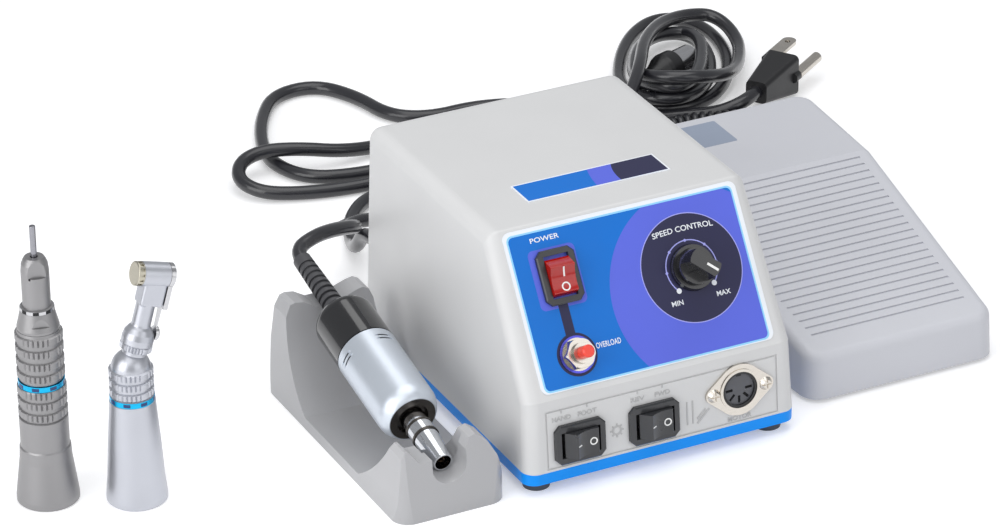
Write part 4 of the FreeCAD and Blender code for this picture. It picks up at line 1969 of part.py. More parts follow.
def main():
    os.makedirs("parts", exist_ok=True)
    write("base_tray", base_tray())
    write("rubber_feet", rubber_feet() + [placed(foot, PEDAL) for foot in pedal_feet()])
    write("case_screws", case_screws())
    write("upper_housing", upper_housing())
    write("printed_panels", [panel_overlay(), roof_plate()])
    for name in ("power", "mode", "direction"):
        write(name + "_switch_body", switch_body(), switch_place(name))
        write(name + "_rocker", rocker(), switch_place(name))
    write("breaker_body", breaker_body())
    write("breaker_nut", [breaker_nut(), breaker_washer()])
    write("reset_button", reset_button())
    write("potentiometer", [potentiometer(), potentiometer_nut()])
    write("speed_knob", [speed_knob(), potentiometer_shaft()])
    write("socket_flange", [socket_flange()] + socket_screws())
    write("socket_insert", socket_insert())
    write("transformer", [transformer_core(), transformer_coil()])
    write("circuit_board", circuit_board())
    write("mains_gland", mains_gland())
    write("fuse_holder", fuse_holder())
    write("pedal_socket", pedal_socket())
    write("coupling_nose", in_motor([coupling_nose()] + nose_rings()))
    write("motor_collar", in_motor([motor_collar()]))
    write("motor_sleeve", in_motor([motor_sleeve()]))
    write("motor_rear_cap", in_motor([motor_rear_cap()]))
    write("stator_magnets", in_motor(stator_magnets()))
    write("motor_bearings", in_motor(motor_bearings()))
    write("brush_gear", in_motor([brush_plate()] + carbon_brushes()))
    write("motor_armature", in_motor([motor_armature(), drive_dog()]))
    write("motor_strain_relief", in_motor([motor_strain_relief()]))
    write("motor_cradle", motor_cradle())
    write("pedal_base", pedal_base(), PEDAL)
    write("pedal_treadle", [pedal_treadle(), pedal_magnet()], PEDAL)
    write("pedal_hinge_pin", pedal_hinge_pin(), PEDAL)
    write("pedal_springs", pedal_springs(), PEDAL)
    write("pedal_sensor", pedal_sensor(), PEDAL)
    write("pedal_strain_relief", pedal_strain_relief(), PEDAL)
    write("straight_body", straight_body(), STRAIGHT)
    write("blue_rings", [placed(straight_blue_ring(), STRAIGHT), placed(contra_blue_ring(), CONTRA)])
    write("straight_chuck_ring", straight_chuck_ring(), STRAIGHT)
    write("straight_nose", straight_nose(), STRAIGHT)
    write("straight_spindle", straight_spindle(), STRAIGHT)
    write("straight_bur", straight_bur(), STRAIGHT)
    write("contra_body", contra_body(), CONTRA)
    write("contra_head", [contra_head(), contra_neck_ring()], HEAD)
    write("contra_cap", contra_cap(), HEAD)
    write("contra_chuck", contra_chuck(), HEAD)
    write("contra_latch", contra_latch(), HEAD)
    write("contra_neck_shaft", contra_neck_shaft(), HEAD)
    write("contra_rear_shaft", contra_rear_shaft(), CONTRA)
    write("mains_cord", mains_cord())
    write("mains_plug", mains_plug())
    write("motor_cord", motor_cord())
    write("motor_cord_coil", motor_cord_coil())
    write("motor_plug", motor_plug())
    write("pedal_cord", pedal_cord())
    write("pedal_plug", pedal_plug())


main()
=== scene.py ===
"""Looks of a dental laboratory micromotor set: control unit, motor in its cradle, pedal, two handpieces.

Drawing places are millimetres in the fit frame: X = 0 is the middle of the control unit, Y = 0 the front
edge of its tray, Z = 0 the table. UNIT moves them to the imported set's own frame, in metres.
"""

import math

import bmesh
import bpy
from mathutils import Matrix, Vector
from mathutils.bvhtree import BVHTree


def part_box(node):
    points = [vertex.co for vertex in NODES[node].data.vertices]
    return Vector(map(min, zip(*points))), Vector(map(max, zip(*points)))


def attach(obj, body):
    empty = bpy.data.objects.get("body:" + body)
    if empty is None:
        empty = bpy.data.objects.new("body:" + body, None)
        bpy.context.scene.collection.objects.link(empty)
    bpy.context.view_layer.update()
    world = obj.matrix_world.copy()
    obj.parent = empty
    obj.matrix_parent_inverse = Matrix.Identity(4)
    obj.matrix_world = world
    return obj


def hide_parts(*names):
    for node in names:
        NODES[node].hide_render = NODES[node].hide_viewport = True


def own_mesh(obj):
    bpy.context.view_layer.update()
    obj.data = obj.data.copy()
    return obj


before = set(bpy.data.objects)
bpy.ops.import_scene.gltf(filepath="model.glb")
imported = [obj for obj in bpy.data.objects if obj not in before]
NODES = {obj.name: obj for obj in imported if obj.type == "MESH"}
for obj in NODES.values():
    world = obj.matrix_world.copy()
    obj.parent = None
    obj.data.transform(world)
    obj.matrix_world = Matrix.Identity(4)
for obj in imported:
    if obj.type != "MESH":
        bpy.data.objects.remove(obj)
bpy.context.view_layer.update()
scene = bpy.context.scene

MM = 0.001
TRAY_LOW, TRAY_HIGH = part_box("base_tray")
UNIT = Matrix.Translation(Vector(((TRAY_LOW.x + TRAY_HIGH.x) / 2, TRAY_LOW.y, 0))) @ Matrix.Scale(MM, 4)


def turned_place(x, y, z, tip_x=0.0):
    """Place at a drawing point, tipped about X (degrees)."""
    return UNIT @ Matrix.Translation((x, y, z)) @ Matrix.Rotation(math.radians(tip_x), 4, "X")


LOWER_PANEL = turned_place(0, 0, 9.2, tip_x=85)
UPPER_PANEL = turned_place(0, 2.52, 38.0, tip_x=57)
ROOF = turned_place(0, 0, 93.0)
REAR_WALL = turned_place(0, 145.0, 9.2, tip_x=-91)
MOTOR = turned_place(-87.7, 9.4, 19.2, tip_x=-90 + 12.3)
STRAIGHT = turned_place(-215.4, 84.5, 0)
CONTRA = turned_place(-185.9, 69.2, 0)


# Camera at the photograph's viewing angle

CAMERA_AT = (-744.42, -1375.34, 896.51)
CAMERA_TURN = -26.189
CAMERA_HEIGHT = 27.424
CAMERA_ROLL = -0.626
CAMERA_LENS = 171.8


def set_camera():
    turn, height, roll = (math.radians(a) for a in (CAMERA_TURN, CAMERA_HEIGHT, CAMERA_ROLL))
    right = Vector((math.cos(turn), math.sin(turn), 0))
    back = Vector((math.sin(turn) * math.cos(height), -math.cos(turn) * math.cos(height), math.sin(height)))
    up = back.cross(right)
    rolled_right = right * math.cos(roll) + up * math.sin(roll)
    rolled_up = up * math.cos(roll) - right * math.sin(roll)
    data = bpy.data.cameras.new("camera")
    data.lens = CAMERA_LENS
    data.sensor_width = 36
    data.clip_end = 20
    camera = bpy.data.objects.new("camera", data)
    scene.collection.objects.link(camera)
    basis = Matrix((rolled_right, rolled_up, back)).transposed().to_4x4()
    camera.matrix_world = Matrix.Translation(UNIT @ Vector(CAMERA_AT)) @ basis
    scene.camera = camera


# Finishes


def shade(red, green, blue):
    """Linear colour from the 0-255 values of a screen colour."""
    parts = []
    for value in (red, green, blue):
        value /= 255
        parts.append(value / 12.92 if value <= 0.04045 else ((value + 0.055) / 1.055) ** 2.4)
    return (*parts, 1.0)


# Most of a noise's values lie between these
NOISE_LOW, NOISE_HIGH = 0.3, 0.7


class Finish:
    """A Principled material whose colour, roughness and surface vary in place, built node by node."""

    def __init__(self, name, colour, roughness, **sockets):
        self.material = bpy.data.materials.new(name)
        self.material.use_nodes = True
        self.tree = self.material.node_tree
        self.shader = self.tree.nodes["Principled BSDF"]
        self.colour = colour
        self.roughness = roughness
        self.shader.inputs["Base Color"].default_value = colour
        self.shader.inputs["Roughness"].default_value = roughness
        for socket, value in sockets.items():
            self.shader.inputs[socket.replace("_", " ")].default_value = value
        self.material.diffuse_color = colour
        self.place = self.node("ShaderNodeTexCoord").outputs["Object"]
        self.height = None

    def node(self, kind, **settings):
        made = self.tree.nodes.new(kind)
        for key, value in settings.items():
            setattr(made, key, value)
        return made

    def link(self, source, target):
        self.tree.links.new(source, target)

    def noise(self, size, detail=3.0, stretch=(1, 1, 1)):
        """Noise with blobs about size metres across, stretched along an axis whose share is below 1."""
        mapping = self.node("ShaderNodeMapping")
        mapping.inputs["Scale"].default_value = [share / size for share in stretch]
        self.link(self.place, mapping.inputs["Vector"])
        made = self.node("ShaderNodeTexNoise")
        made.inputs["Scale"].default_value = 1.0
        made.inputs["Detail"].default_value = detail
        self.link(mapping.outputs["Vector"], made.inputs["Vector"])
        return made.outputs["Fac"]

    def ranged(self, source, low, high):
        """A noise's values stretched to run from low to high."""
        made = self.node("ShaderNodeMapRange")
        made.inputs["From Min"].default_value = NOISE_LOW
        made.inputs["From Max"].default_value = NOISE_HIGH
        made.inputs["To Min"].default_value = low
        made.inputs["To Max"].default_value = high
        self.link(source, made.inputs["Value"])
        return made.outputs["Result"]

    def mottled(self, size=0.05, depth=0.04, **noise):
        """Colour a little darker and lighter from place to place."""
        mix = self.node("ShaderNodeMix", data_type="RGBA")
        shades = [[channel * (1 + way * depth) for channel in self.colour[:3]] + [1.0] for way in (-1, 1)]
        for socket, value in zip([i for i in mix.inputs if i.type == "RGBA"], shades):
            socket.default_value = value
        self.link(self.ranged(self.noise(size, **noise), 0, 1), mix.inputs["Factor"])
        colour_out = next(o for o in mix.outputs if o.type == "RGBA")
        self.link(colour_out, self.shader.inputs["Base Color"])
        return self

    def worn(self, size=0.02, spread=0.06, **noise):
        """Roughness that varies from place to place."""
        rough = self.ranged(self.noise(size, **noise), self.roughness - spread, self.roughness + spread)
        self.link(rough, self.shader.inputs["Roughness"])
        return self

    def bumped(self, source, depth):
        bump = self.node("ShaderNodeBump")
        bump.inputs["Distance"].default_value = depth
        bump.inputs["Strength"].default_value = 1.0
        self.link(source, bump.inputs["Height"])
        if self.height:
            self.link(self.height, bump.inputs["Normal"])
        self.height = bump.outputs["Normal"]
        self.link(self.height, self.shader.inputs["Normal"])
        return self

    def grained(self, size=0.0006, depth=0.00002, **noise):
        """Fine raised grain of that size and depth in metres."""
        return self.bumped(self.noise(size, **noise), depth)


def moulded(name, colour, roughness, grain=0.0006, depth=0.000012, **sockets):
    """Injection-moulded plastic with a fine spark-eroded texture."""
    made = Finish(name, colour, roughness, **sockets).mottled(0.06, 0.02)
    return made.worn().grained(grain, depth).material


def satin_metal(name, colour, roughness, stretch=(1, 1, 14), **sockets):
    """Turned metal with fine tool marks round its axis."""
    made = Finish(name, colour, roughness, Metallic=1.0, **sockets)
    return made.mottled(0.004, 0.05, stretch=stretch).worn(0.003, 0.05, stretch=stretch).grained(
        0.0009, 0.000003, stretch=stretch
    ).material


def blasted(name, colour, roughness, metallic=0.85):
    """Even, bead-blasted metal."""
    made = Finish(name, colour, roughness, Metallic=metallic)
    return made.mottled(0.03, 0.015).worn(0.01, 0.02).grained(0.0004, 0.000003).material


def printed(name, colour):
    """Printing ink under a satin film."""
    made = Finish(name, colour, 0.32, Specular_IOR_Level=0.2, Coat_Weight=0.08, Coat_Roughness=0.12)
    return made.mottled(0.03, 0.03).worn(0.015, 0.04).grained(0.0009, 0.000004).material


HOUSING_GREY = moulded(
    "warm_grey_moulding", shade(212, 212, 212), 0.42, Coat_Weight=0.08, Coat_Roughness=0.25,
)
CRADLE_GREY = moulded(
    "cradle_grey_moulding", shade(176, 176, 178), 0.34, Coat_Weight=0.15, Coat_Roughness=0.2,
)
PEDAL_GREY = moulded("pedal_grey_moulding", shade(204, 205, 211), 0.44, grain=0.0009, depth=0.00002)
TRAY_BLUE = moulded("azure_moulding", shade(0, 148, 250), 0.36, Specular_IOR_Level=0.25)
FOOT_GREY = moulded("foot_rubber", shade(72, 78, 88), 0.62, grain=0.0012, depth=0.00003)
SWITCH_BLACK = moulded("switch_black", shade(44, 45, 48), 0.3, Coat_Weight=0.2, Coat_Roughness=0.15)
KNOB_BLACK = moulded(
    "knob_black", shade(24, 24, 27), 0.2, depth=0.000003, Coat_Weight=0.6, Coat_Roughness=0.06,
)
CAP_BLACK = moulded(
    "cap_black", shade(20, 20, 23), 0.16, depth=0.000002, Coat_Weight=0.7, Coat_Roughness=0.05,
)
INSERT_GREY = moulded("insert_grey", shade(84, 85, 90), 0.42)
LABEL_BLUE = printed("label_grey_blue", shade(150, 160, 178))
SEGMENT_NAVY = moulded("segment_navy", shade(28, 58, 112), 0.3)
INSULATOR_BLACK = moulded("insulator_black", shade(26, 26, 28), 0.4)
RELIEF_GREY = moulded("relief_rubber", shade(70, 70, 73), 0.5, grain=0.001, depth=0.00002)
CORD_BLACK = moulded(
    "cord_jacket", shade(34, 34, 39), 0.3, grain=0.0008, depth=0.000002, Coat_Weight=0.45,
    Coat_Roughness=0.14,
)
CURL_BLACK = moulded("curly_jacket", shade(30, 30, 35), 0.3, grain=0.0008, depth=0.000002, Coat_Weight=0.4)
PLUG_BLACK = moulded("plug_black", shade(30, 30, 32), 0.4, grain=0.0009, depth=0.00002)
BRUSH_BROWN = moulded("brush_plate_brown", shade(110, 82, 58), 0.55)
BOARD_GREEN = moulded("board_lacquer", shade(36, 98, 62), 0.35, Coat_Weight=0.3)
CORE_IRON = satin_metal("laminated_core", shade(112, 106, 100), 0.5, stretch=(1, 12, 1))
ARMATURE_STEEL = satin_metal("wound_rotor", shade(150, 118, 92), 0.4)
MAGNET_GREY = satin_metal("ferrite_grey", shade(70, 70, 74), 0.6)
SPRING_STEEL = satin_metal("spring_steel", shade(170, 172, 176), 0.28)
BEARING_STEEL = satin_metal("bearing_steel", shade(190, 192, 196), 0.2)
NICKEL = satin_metal("nickel_plate", shade(206, 200, 191), 0.19)
NOSE_CHROME = satin_metal("nose_chrome", shade(216, 218, 222), 0.11)
SCREW_ZINC = satin_metal("zinc_screw", shade(196, 196, 198), 0.26)
SLEEVE_SILVER = blasted("sleeve_silver", shade(208, 215, 224), 0.36, 0.7)
COLLAR_STEEL = satin_metal("dark_collar", shade(94, 90, 86), 0.32)
TITANIUM = blasted("titanium_blasted", shade(150, 149, 150), 0.42)
PALE_STEEL = blasted("pale_blasted", shade(190, 192, 199), 0.36)
BRIGHT_STEEL = satin_metal("bright_turned_steel", shade(196, 196, 198), 0.22)
BUR_STEEL = satin_metal("bur_steel", shade(150, 150, 156), 0.22)
WARM_CAP = satin_metal("warm_grey_satin", shade(186, 181, 166), 0.32)
RING_BLUE = satin_metal("blue_anodised", shade(40, 178, 226), 0.28)
WASHER_VIOLET = satin_metal("violet_washer", shade(92, 92, 205), 0.3)
ROCKER_RED = moulded(
    "translucent_red", shade(205, 22, 12), 0.16, depth=0.000004, Transmission_Weight=0.35, Coat_Weight=0.4,
    Coat_Roughness=0.06,
)
BUTTON_RED = moulded("button_red", shade(238, 58, 36), 0.3, Coat_Weight=0.3)
PRINT_WHITE = printed("ink_white", shade(238, 242, 248))
PRINT_PALE_BLUE = printed("ink_pale_blue", shade(150, 214, 250))
PRINT_AZURE = printed("ink_azure", shade(6, 112, 206))
PRINT_VIOLET = printed("ink_violet", shade(92, 106, 220))
PRINT_NAVY = printed("ink_navy", shade(44, 44, 76))
PRINT_LILAC = printed("ink_lilac", shade(168, 170, 240))
MARK_WHITE = printed("mark_white", shade(240, 240, 238))
# Painted shade: near-black laid in slots, slits and recesses, where there is only shade
PAINTED_SHADE_BLACK = moulded("shadow_slot", shade(20, 20, 22), 0.7)
# Painted shade: the housing's own plastic made darker, standing in for the shading of moulded relief
RELIEF_PAINTED_SHADE = moulded("relief_painted_shade", shade(184, 184, 184), 0.42)

NODE_FINISHES = {
    "base_tray": TRAY_BLUE,
    "rubber_feet": FOOT_GREY,
    "case_screws": SCREW_ZINC,
    "upper_housing": HOUSING_GREY,
    "printed_panels": PRINT_WHITE,
    "power_switch_body": SWITCH_BLACK,
    "mode_switch_body": SWITCH_BLACK,
    "direction_switch_body": SWITCH_BLACK,
    "power_rocker": ROCKER_RED,
    "mode_rocker": SWITCH_BLACK,
    "direction_rocker": SWITCH_BLACK,
    "breaker_body": NICKEL,
    "breaker_nut": NICKEL,
    "reset_button": BUTTON_RED,
    "potentiometer": SCREW_ZINC,
    "speed_knob": KNOB_BLACK,
    "socket_flange": NICKEL,
    "socket_insert": INSERT_GREY,
    "transformer": CORE_IRON,
    "circuit_board": BOARD_GREEN,
    "mains_gland": RELIEF_GREY,
    "fuse_holder": PLUG_BLACK,
    "pedal_socket": PLUG_BLACK,
    "coupling_nose": NOSE_CHROME,
    "motor_collar": COLLAR_STEEL,
    "motor_sleeve": SLEEVE_SILVER,
    "motor_rear_cap": CAP_BLACK,
    "stator_magnets": MAGNET_GREY,
    "motor_bearings": BEARING_STEEL,
    "brush_gear": BRUSH_BROWN,
    "motor_armature": ARMATURE_STEEL,
    "motor_strain_relief": RELIEF_GREY,
    "motor_cradle": CRADLE_GREY,
    "pedal_base": PEDAL_GREY,
    "pedal_treadle": PEDAL_GREY,
    "pedal_hinge_pin": SCREW_ZINC,
    "pedal_springs": SPRING_STEEL,
    "pedal_sensor": BOARD_GREEN,
    "pedal_strain_relief": RELIEF_GREY,
    "straight_body": TITANIUM,
    "blue_rings": RING_BLUE,
    "straight_chuck_ring": TITANIUM,
    "straight_nose": TITANIUM,
    "straight_spindle": BEARING_STEEL,
    "straight_bur": BUR_STEEL,
    "contra_body": PALE_STEEL,
    "contra_head": PALE_STEEL,
    "contra_cap": WARM_CAP,
    "contra_chuck": BEARING_STEEL,
    "contra_latch": BRIGHT_STEEL,
    "contra_neck_shaft": BEARING_STEEL,
    "contra_rear_shaft": BEARING_STEEL,
    "mains_plug": PLUG_BLACK,
    "motor_plug": PLUG_BLACK,
    "pedal_plug": PLUG_BLACK,
    "mains_cord": CORD_BLACK,
    "motor_cord": CORD_BLACK,
    "motor_cord_coil": CORD_BLACK,
    "pedal_cord": CURL_BLACK,
}


def dress_nodes():
    for name, finish in NODE_FINISHES.items():
        materials = NODES[name].data.materials
        materials.clear()
        materials.append(finish)


# Cords


def cord_line(name, points, radius, finish):
    """NURBS cord through its route's control points, given in drawing millimetres."""
    curve = bpy.data.curves.new(name, "CURVE")
    curve.dimensions = "3D"
    curve.bevel_depth = radius * MM
    curve.bevel_resolution = 5
    curve.resolution_u = 6
    curve.use_fill_caps = True
    spline = curve.splines.new("NURBS")
    spline.points.add(len(points) - 1)
    for control, point in zip(spline.points, points):
        control.co = (*(UNIT @ Vector(point)), 1.0)
    spline.order_u = 3
    spline.use_endpoint_u = True
    curve.materials.append(finish)
    cord = bpy.data.objects.new(name, curve)
    scene.collection.objects.link(cord)
    return cord


def line_points(points):
    """Points along the NURBS line of a route, in drawing millimetres."""
    guide = cord_line("guide", points, 0, CORD_BLACK)
    guide.data.bevel_depth = 0
    guide.data.use_fill_caps = False
    guide.data.resolution_u = 12
    bpy.context.view_layer.update()
    mesh = bpy.data.meshes.new_from_object(guide)
    back = UNIT.inverted()
    found = [back @ v.co for v in mesh.vertices]
    bpy.data.meshes.remove(mesh)
    bpy.data.curves.remove(guide.data)
    return found


def length_of(points):
    return sum((b - a).length for a, b in zip(points, points[1:]))


def declare(points):
    """Works out the length of a cord's own line; nothing is done with it."""
    length = length_of(line_points(points)) * MM


FLOOR_Z = 3.1
MAINS_R = 3.0
MOTOR_CORD_R = 2.9
PEDAL_WIRE_R = 1.6
CURL_HELIX_R = 3.5
CURL_PITCH = 3.5
CURL_POINTS = 12

Z = FLOOR_Z
MAINS_ROUTE = [
    (-36, 174.8, 22.5), (-36, 188, 22.7), (-34.5, 200, 9), (-30, 215, Z), (-22, 235, Z), (-7, 250, Z),
    (14, 252, Z), (40, 249, Z), (72, 250, Z), (97, 260, Z), (104, 281, Z), (94, 300, Z), (72, 308, Z),
    (50, 307, Z), (35, 317, Z), (31, 340, Z), (20, 360, Z), (-1, 359, Z), (-15, 340, Z), (-25, 318, Z),
    (-29, 298, Z), (-22, 279, Z), (-4, 271.5, Z), (22, 270.5, Z), (44, 270, Z), (58, 270, Z),
    (67, 278, Z), (67, 290, Z), (58, 298.2, Z), (42, 297, Z), (22, 291, Z), (0, 288, 6.5),
    (-18, 292, 10.2), (-33, 298, 10), (-45, 295, 8.5), (-50.5, 284, 6), (-45, 273, 4), (-32, 267, Z),
    (-14, 262, Z), (6, 260.5, Z), (34, 260, Z), (64, 261, Z), (84, 263, 4), (98, 265, 10.4),
    (114, 264, 4), (132, 262, Z), (149, 258.5, Z), (160, 250, 5), (171.6, 245.9, 9.6),
    (180.6, 252.2, 9.6),
]
MOTOR_LEAD = [
    (-87.7, 133.9, 46.3), (-87.7, 140.2, 47.7), (-77, 145.5, 49), (-65, 152.5, 46), (-50, 162.5, 39.5),
    (-48, 180, 30), (-44, 195, 22.5), (-28, 203, 19.5), (-6, 207, 11), (16, 208, 3.1), (45, 212, 3.1),
    (71.3, 221.7, 4.2), (94.5, 237.4, 5.4), (107.6, 246, 13.6), (120.7, 256.4, 18.5),
]
# Four loose turns that lie on each other, the first one on top, then the way to the plug below them
MOTOR_LOOPS = [
    (134.3, 272.3, 23.8), (149.3, 297.4, 22.1), (166.3, 317, 18.4), (182.6, 328, 14.7), (195.8, 328.7, 12.9),
    (200.4, 324.8, 11.8), (202.5, 317.6, 10), (201.6, 308.3, 8.3), (198.1, 298.4, 7.5), (186.6, 279.5, 9.4),
    (173.4, 265, 14.4), (160.4, 257.3, 19.4), (149.6, 257.4, 21.5), (142.4, 262.3, 21), (137.8, 269.5, 19.3),
    (136.3, 277.6, 17.5), (137.9, 284.6, 17.4), (147.8, 300.9, 16.3), (159.4, 313.6, 13.9),
    (170.6, 320.5, 11.5), (179.8, 320.4, 10.5), (182, 317.4, 10.8), (182.4, 311.7, 11.9), (180.9, 304.1, 13),
    (177.6, 295.8, 13.5), (169.1, 281, 13.8), (160.1, 269.5, 14.6), (152, 262.9, 15.4), (145.8, 262.3, 15.7),
    (141.2, 267.3, 14.8), (139.1, 275.6, 12.8), (139.4, 285.1, 11.7), (143.3, 296.1, 11), (153.1, 312.5, 9.9),
    (164.3, 325, 7.7), (175, 331.8, 5.6), (183.8, 331.7, 4.7), (187.6, 327, 4.7), (188.5, 318.4, 4.8),
    (186.5, 307.3, 4.9), (181.7, 295.3, 5.1), (172.4, 279.8, 6.1), (161.8, 268.1, 8.3), (152, 262.5, 9.6),
    (144.1, 263.4, 9.7), (137.8, 269.3, 8.8), (134.4, 278.5, 7.6), (135.6, 291.1, 5.6), (140.7, 304.7, 4.4),
    (152.8, 324.9, 4.2), (166.3, 340.5, 4), (179.1, 349.2, 3.8), (189.4, 349.6, 3.7), (196.6, 342.4, 3.5),
    (199.5, 329.8, 3.4), (197.7, 313.7, 3.3), (191.5, 296.7, 3.3), (182.4, 282, 3.2), (171.6, 271.2, 3.1),
    (160.5, 265.6, 3.1), (150.7, 265.6, 3.1), (142.5, 268.3, 3.1), (138.7, 274.3, 3.1), (139.1, 280.8, 3.6),
    (141.5, 285.5, 6), (144.4, 288.1, 8), (148.6, 289.6, 8),
]
PEDAL_NEAR = [
    (131, 199.7, 10.13), (131, 206.2, 10.13), (137.5, 212.5, 6), (150, 212.5, 5.3), (160, 212.5, 5.3),
]
CURLED_ROUTE = [
    (164, 212.5, 5.3), (178, 212.5, 5.3), (187.5, 220.5, 5.3), (187.5, 231, 5.3), (176, 236.5, 5.3),
    (160, 240, 5.3), (147, 245.5, 5.3), (132, 246, 5.3), (116, 237, 5.3), (100, 226, 5.3), (80, 211, 5.3),
    (62, 201.5, 5.3),
]
PEDAL_FAR = [(57, 198.8, 5.3), (48, 194.1, 5.3), (37, 193, 14)]


def curl_points(route):
    """Helix of a curly cord round its route's own line, opening at one end and closing at the other."""
    line = line_points(route)
    total = length_of(line)
    turns = round(total / CURL_PITCH)
    per_turn = CURL_POINTS
    points, walked, index = [], 0.0, 0
    normal = Vector((0, 0, 1))
    for step in range(turns * per_turn + 1):
        wanted = total * step / (turns * per_turn)
        while index < len(line) - 2 and walked + (line[index + 1] - line[index]).length < wanted:
            walked += (line[index + 1] - line[index]).length
            index += 1
        run = line[index + 1] - line[index]
        at = line[index] + run.normalized() * min(wanted - walked, run.length)
        side = run.normalized().cross(normal).normalized()
        angle = 2 * math.pi * step / per_turn
        opening = min(1.0, step / per_turn, (turns * per_turn - step) / per_turn)
        points.append(at + (side * math.cos(angle) + normal * math.sin(angle)) * CURL_HELIX_R * opening)
    return [tuple(p) for p in points]


# The pedal's plug on the rear wall: its place across and up, and how far out its cord's last two points are
PEDAL_PLUG_AT = (30.0, 12.8)
PEDAL_PLUG_OUT = (39.5, 28.5)


def on_rear_wall(x, up, out):
    """Drawing point that far across, up and out from the rear wall."""
    return tuple(UNIT.inverted() @ (REAR_WALL @ Vector((x, -up, out))))


def lay_cords():
    mains = cord_line("mains_lead", MAINS_ROUTE, MAINS_R, CORD_BLACK)
    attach(mains, "set")
    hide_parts("mains_cord")
    declare(MAINS_ROUTE)

    motor_points = MOTOR_LEAD + MOTOR_LOOPS
    motor = cord_line("motor_lead", motor_points, MOTOR_CORD_R, CORD_BLACK)
    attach(motor, "set")
    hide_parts("motor_cord", "motor_cord_coil")
    declare(motor_points)

    rear = [on_rear_wall(*PEDAL_PLUG_AT, out) for out in PEDAL_PLUG_OUT]
    pedal_points = PEDAL_NEAR + curl_points(CURLED_ROUTE) + PEDAL_FAR + rear
    pedal = cord_line("pedal_lead", pedal_points, PEDAL_WIRE_R, CURL_BLACK)
    pedal.data.resolution_u = 2
    pedal.data.bevel_resolution = 3
    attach(pedal, "set")
    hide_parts("pedal_cord")
    declare(pedal_points)


# Stage and lights

FLOOR_HALF = 6
FLOOR_GLOW = 0.34
SKY_STRENGTH = 0.42


def pale_ground(name):
    """Floor paint that shows white to the camera and in reflections, and keeps the set's shadow."""
    made = Finish(name, (0.86, 0.86, 0.87, 1), 0.7).mottled(0.4, 0.01)
    output = made.tree.nodes["Material Output"]
    path = made.node("ShaderNodeLightPath")
    seen = made.node("ShaderNodeMath", operation="MAXIMUM")
    made.link(path.outputs["Is Camera Ray"], seen.inputs[0])
    made.link(path.outputs["Is Glossy Ray"], seen.inputs[1])
    glow = made.node("ShaderNodeEmission")
    glow.inputs["Color"].default_value = (1, 1, 1, 1)
    glow.inputs["Strength"].default_value = FLOOR_GLOW
    both = made.node("ShaderNodeAddShader")
    made.link(made.shader.outputs[0], both.inputs[0])
    made.link(glow.outputs[0], both.inputs[1])
    pick = made.node("ShaderNodeMixShader")
    made.link(seen.outputs[0], pick.inputs[0])
    made.link(made.shader.outputs[0], pick.inputs[1])
    made.link(both.outputs[0], pick.inputs[2])
    made.link(pick.outputs[0], output.inputs["Surface"])
    return made.material


def set_stage():
    bm = bmesh.new()
    bmesh.ops.create_grid(bm, x_segments=1, y_segments=1, size=FLOOR_HALF)
    mesh = bpy.data.meshes.new("floor")
    bm.to_mesh(mesh)
    bm.free()
    mesh.materials.append(pale_ground("pale_floor"))
    floor = bpy.data.objects.new("floor", mesh)
    scene.collection.objects.link(floor)

    world = bpy.data.worlds.new("studio")
    scene.world = world
    world.use_nodes = True
    nodes, links = world.node_tree.nodes, world.node_tree.links
    soft = nodes["Background"]
    soft.inputs["Color"].default_value = (0.95, 0.97, 1.0, 1)
    soft.inputs["Strength"].default_value = SKY_STRENGTH
    white = nodes.new("ShaderNodeBackground")
    white.inputs["Color"].default_value = (1, 1, 1, 1)
    path = nodes.new("ShaderNodeLightPath")
    seen = nodes.new("ShaderNodeMath")
    seen.operation = "MAXIMUM"
    links.new(path.outputs["Is Camera Ray"], seen.inputs[0])
    links.new(path.outputs["Is Transmission Ray"], seen.inputs[1])
    pick = nodes.new("ShaderNodeMixShader")
    links.new(seen.outputs[0], pick.inputs[0])
    links.new(soft.outputs[0], pick.inputs[1])
    links.new(white.outputs[0], pick.inputs[2])
    links.new(pick.outputs[0], nodes["World Output"].inputs["Surface"])


def add_lamp(name, at, power, size, aim=(0, 80, 30)):
    """Soft square lamp at a drawing point, turned to another."""
    data = bpy.data.lights.new(name, "AREA")
    data.energy = power
    data.size = size
    lamp = bpy.data.objects.new(name, data)
    scene.collection.objects.link(lamp)
    place = UNIT @ Vector(at)
    turn = (UNIT @ Vector(aim) - place).to_track_quat("-Z", "Y")
    lamp.matrix_world = Matrix.Translation(place) @ turn.to_matrix().to_4x4()


def set_lights():
    add_lamp("key_lamp", (-520, -300, 900), 1.9, 0.7)
    add_lamp("top_lamp", (100, 200, 1000), 4.2, 0.9)
    add_lamp("front_lamp", (250, -900, 500), 2.2, 0.8)
    add_lamp("left_lamp", (-1000, -150, 420), 5.2, 0.8)


# Pieces made here

SHARP_EDGE = 35.0


def settle(bm, name, place, finish, body="set"):
    """Puts a finished form at its place, smooth but for its sharp edges, riding on its body."""
    bmesh.ops.transform(bm, matrix=place, verts=bm.verts)
    bmesh.ops.recalc_face_normals(bm, faces=bm.faces)
    for face in bm.faces:
        face.smooth = True
    for edge in bm.edges:
        edge.smooth = edge.calc_face_angle(math.pi) < math.radians(SHARP_EDGE)
    mesh = bpy.data.meshes.new(name)
    bm.to_mesh(mesh)
    bm.free()
    mesh.materials.append(finish)
    piece = bpy.data.objects.new(name, mesh)
    scene.collection.objects.link(piece)
    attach(piece, body)
    return piece


INK_T = 0.03
INK_SINK = 0.01
INK_STEP = 0.02
SHEET_TOP = 0.25


def cut_outside(bm, at, out):
    """Cuts away what lies beyond a line through at, on the side that out points to."""
    everything = list(bm.verts) + list(bm.edges) + list(bm.faces)
    bmesh.ops.bisect_plane(bm, geom=everything, plane_co=at, plane_no=out, clear_outer=True)


def lift_ink(bm, low, thickness=INK_T):
    """Gives a flat form its small thickness, from low upwards."""
    bmesh.ops.translate(bm, vec=(0, 0, low), verts=bm.verts)
    raised = bmesh.ops.extrude_face_region(bm, geom=list(bm.faces))["geom"]
    top = [v for v in raised if isinstance(v, bmesh.types.BMVert)]
    bmesh.ops.translate(bm, vec=(0, 0, thickness), verts=top)


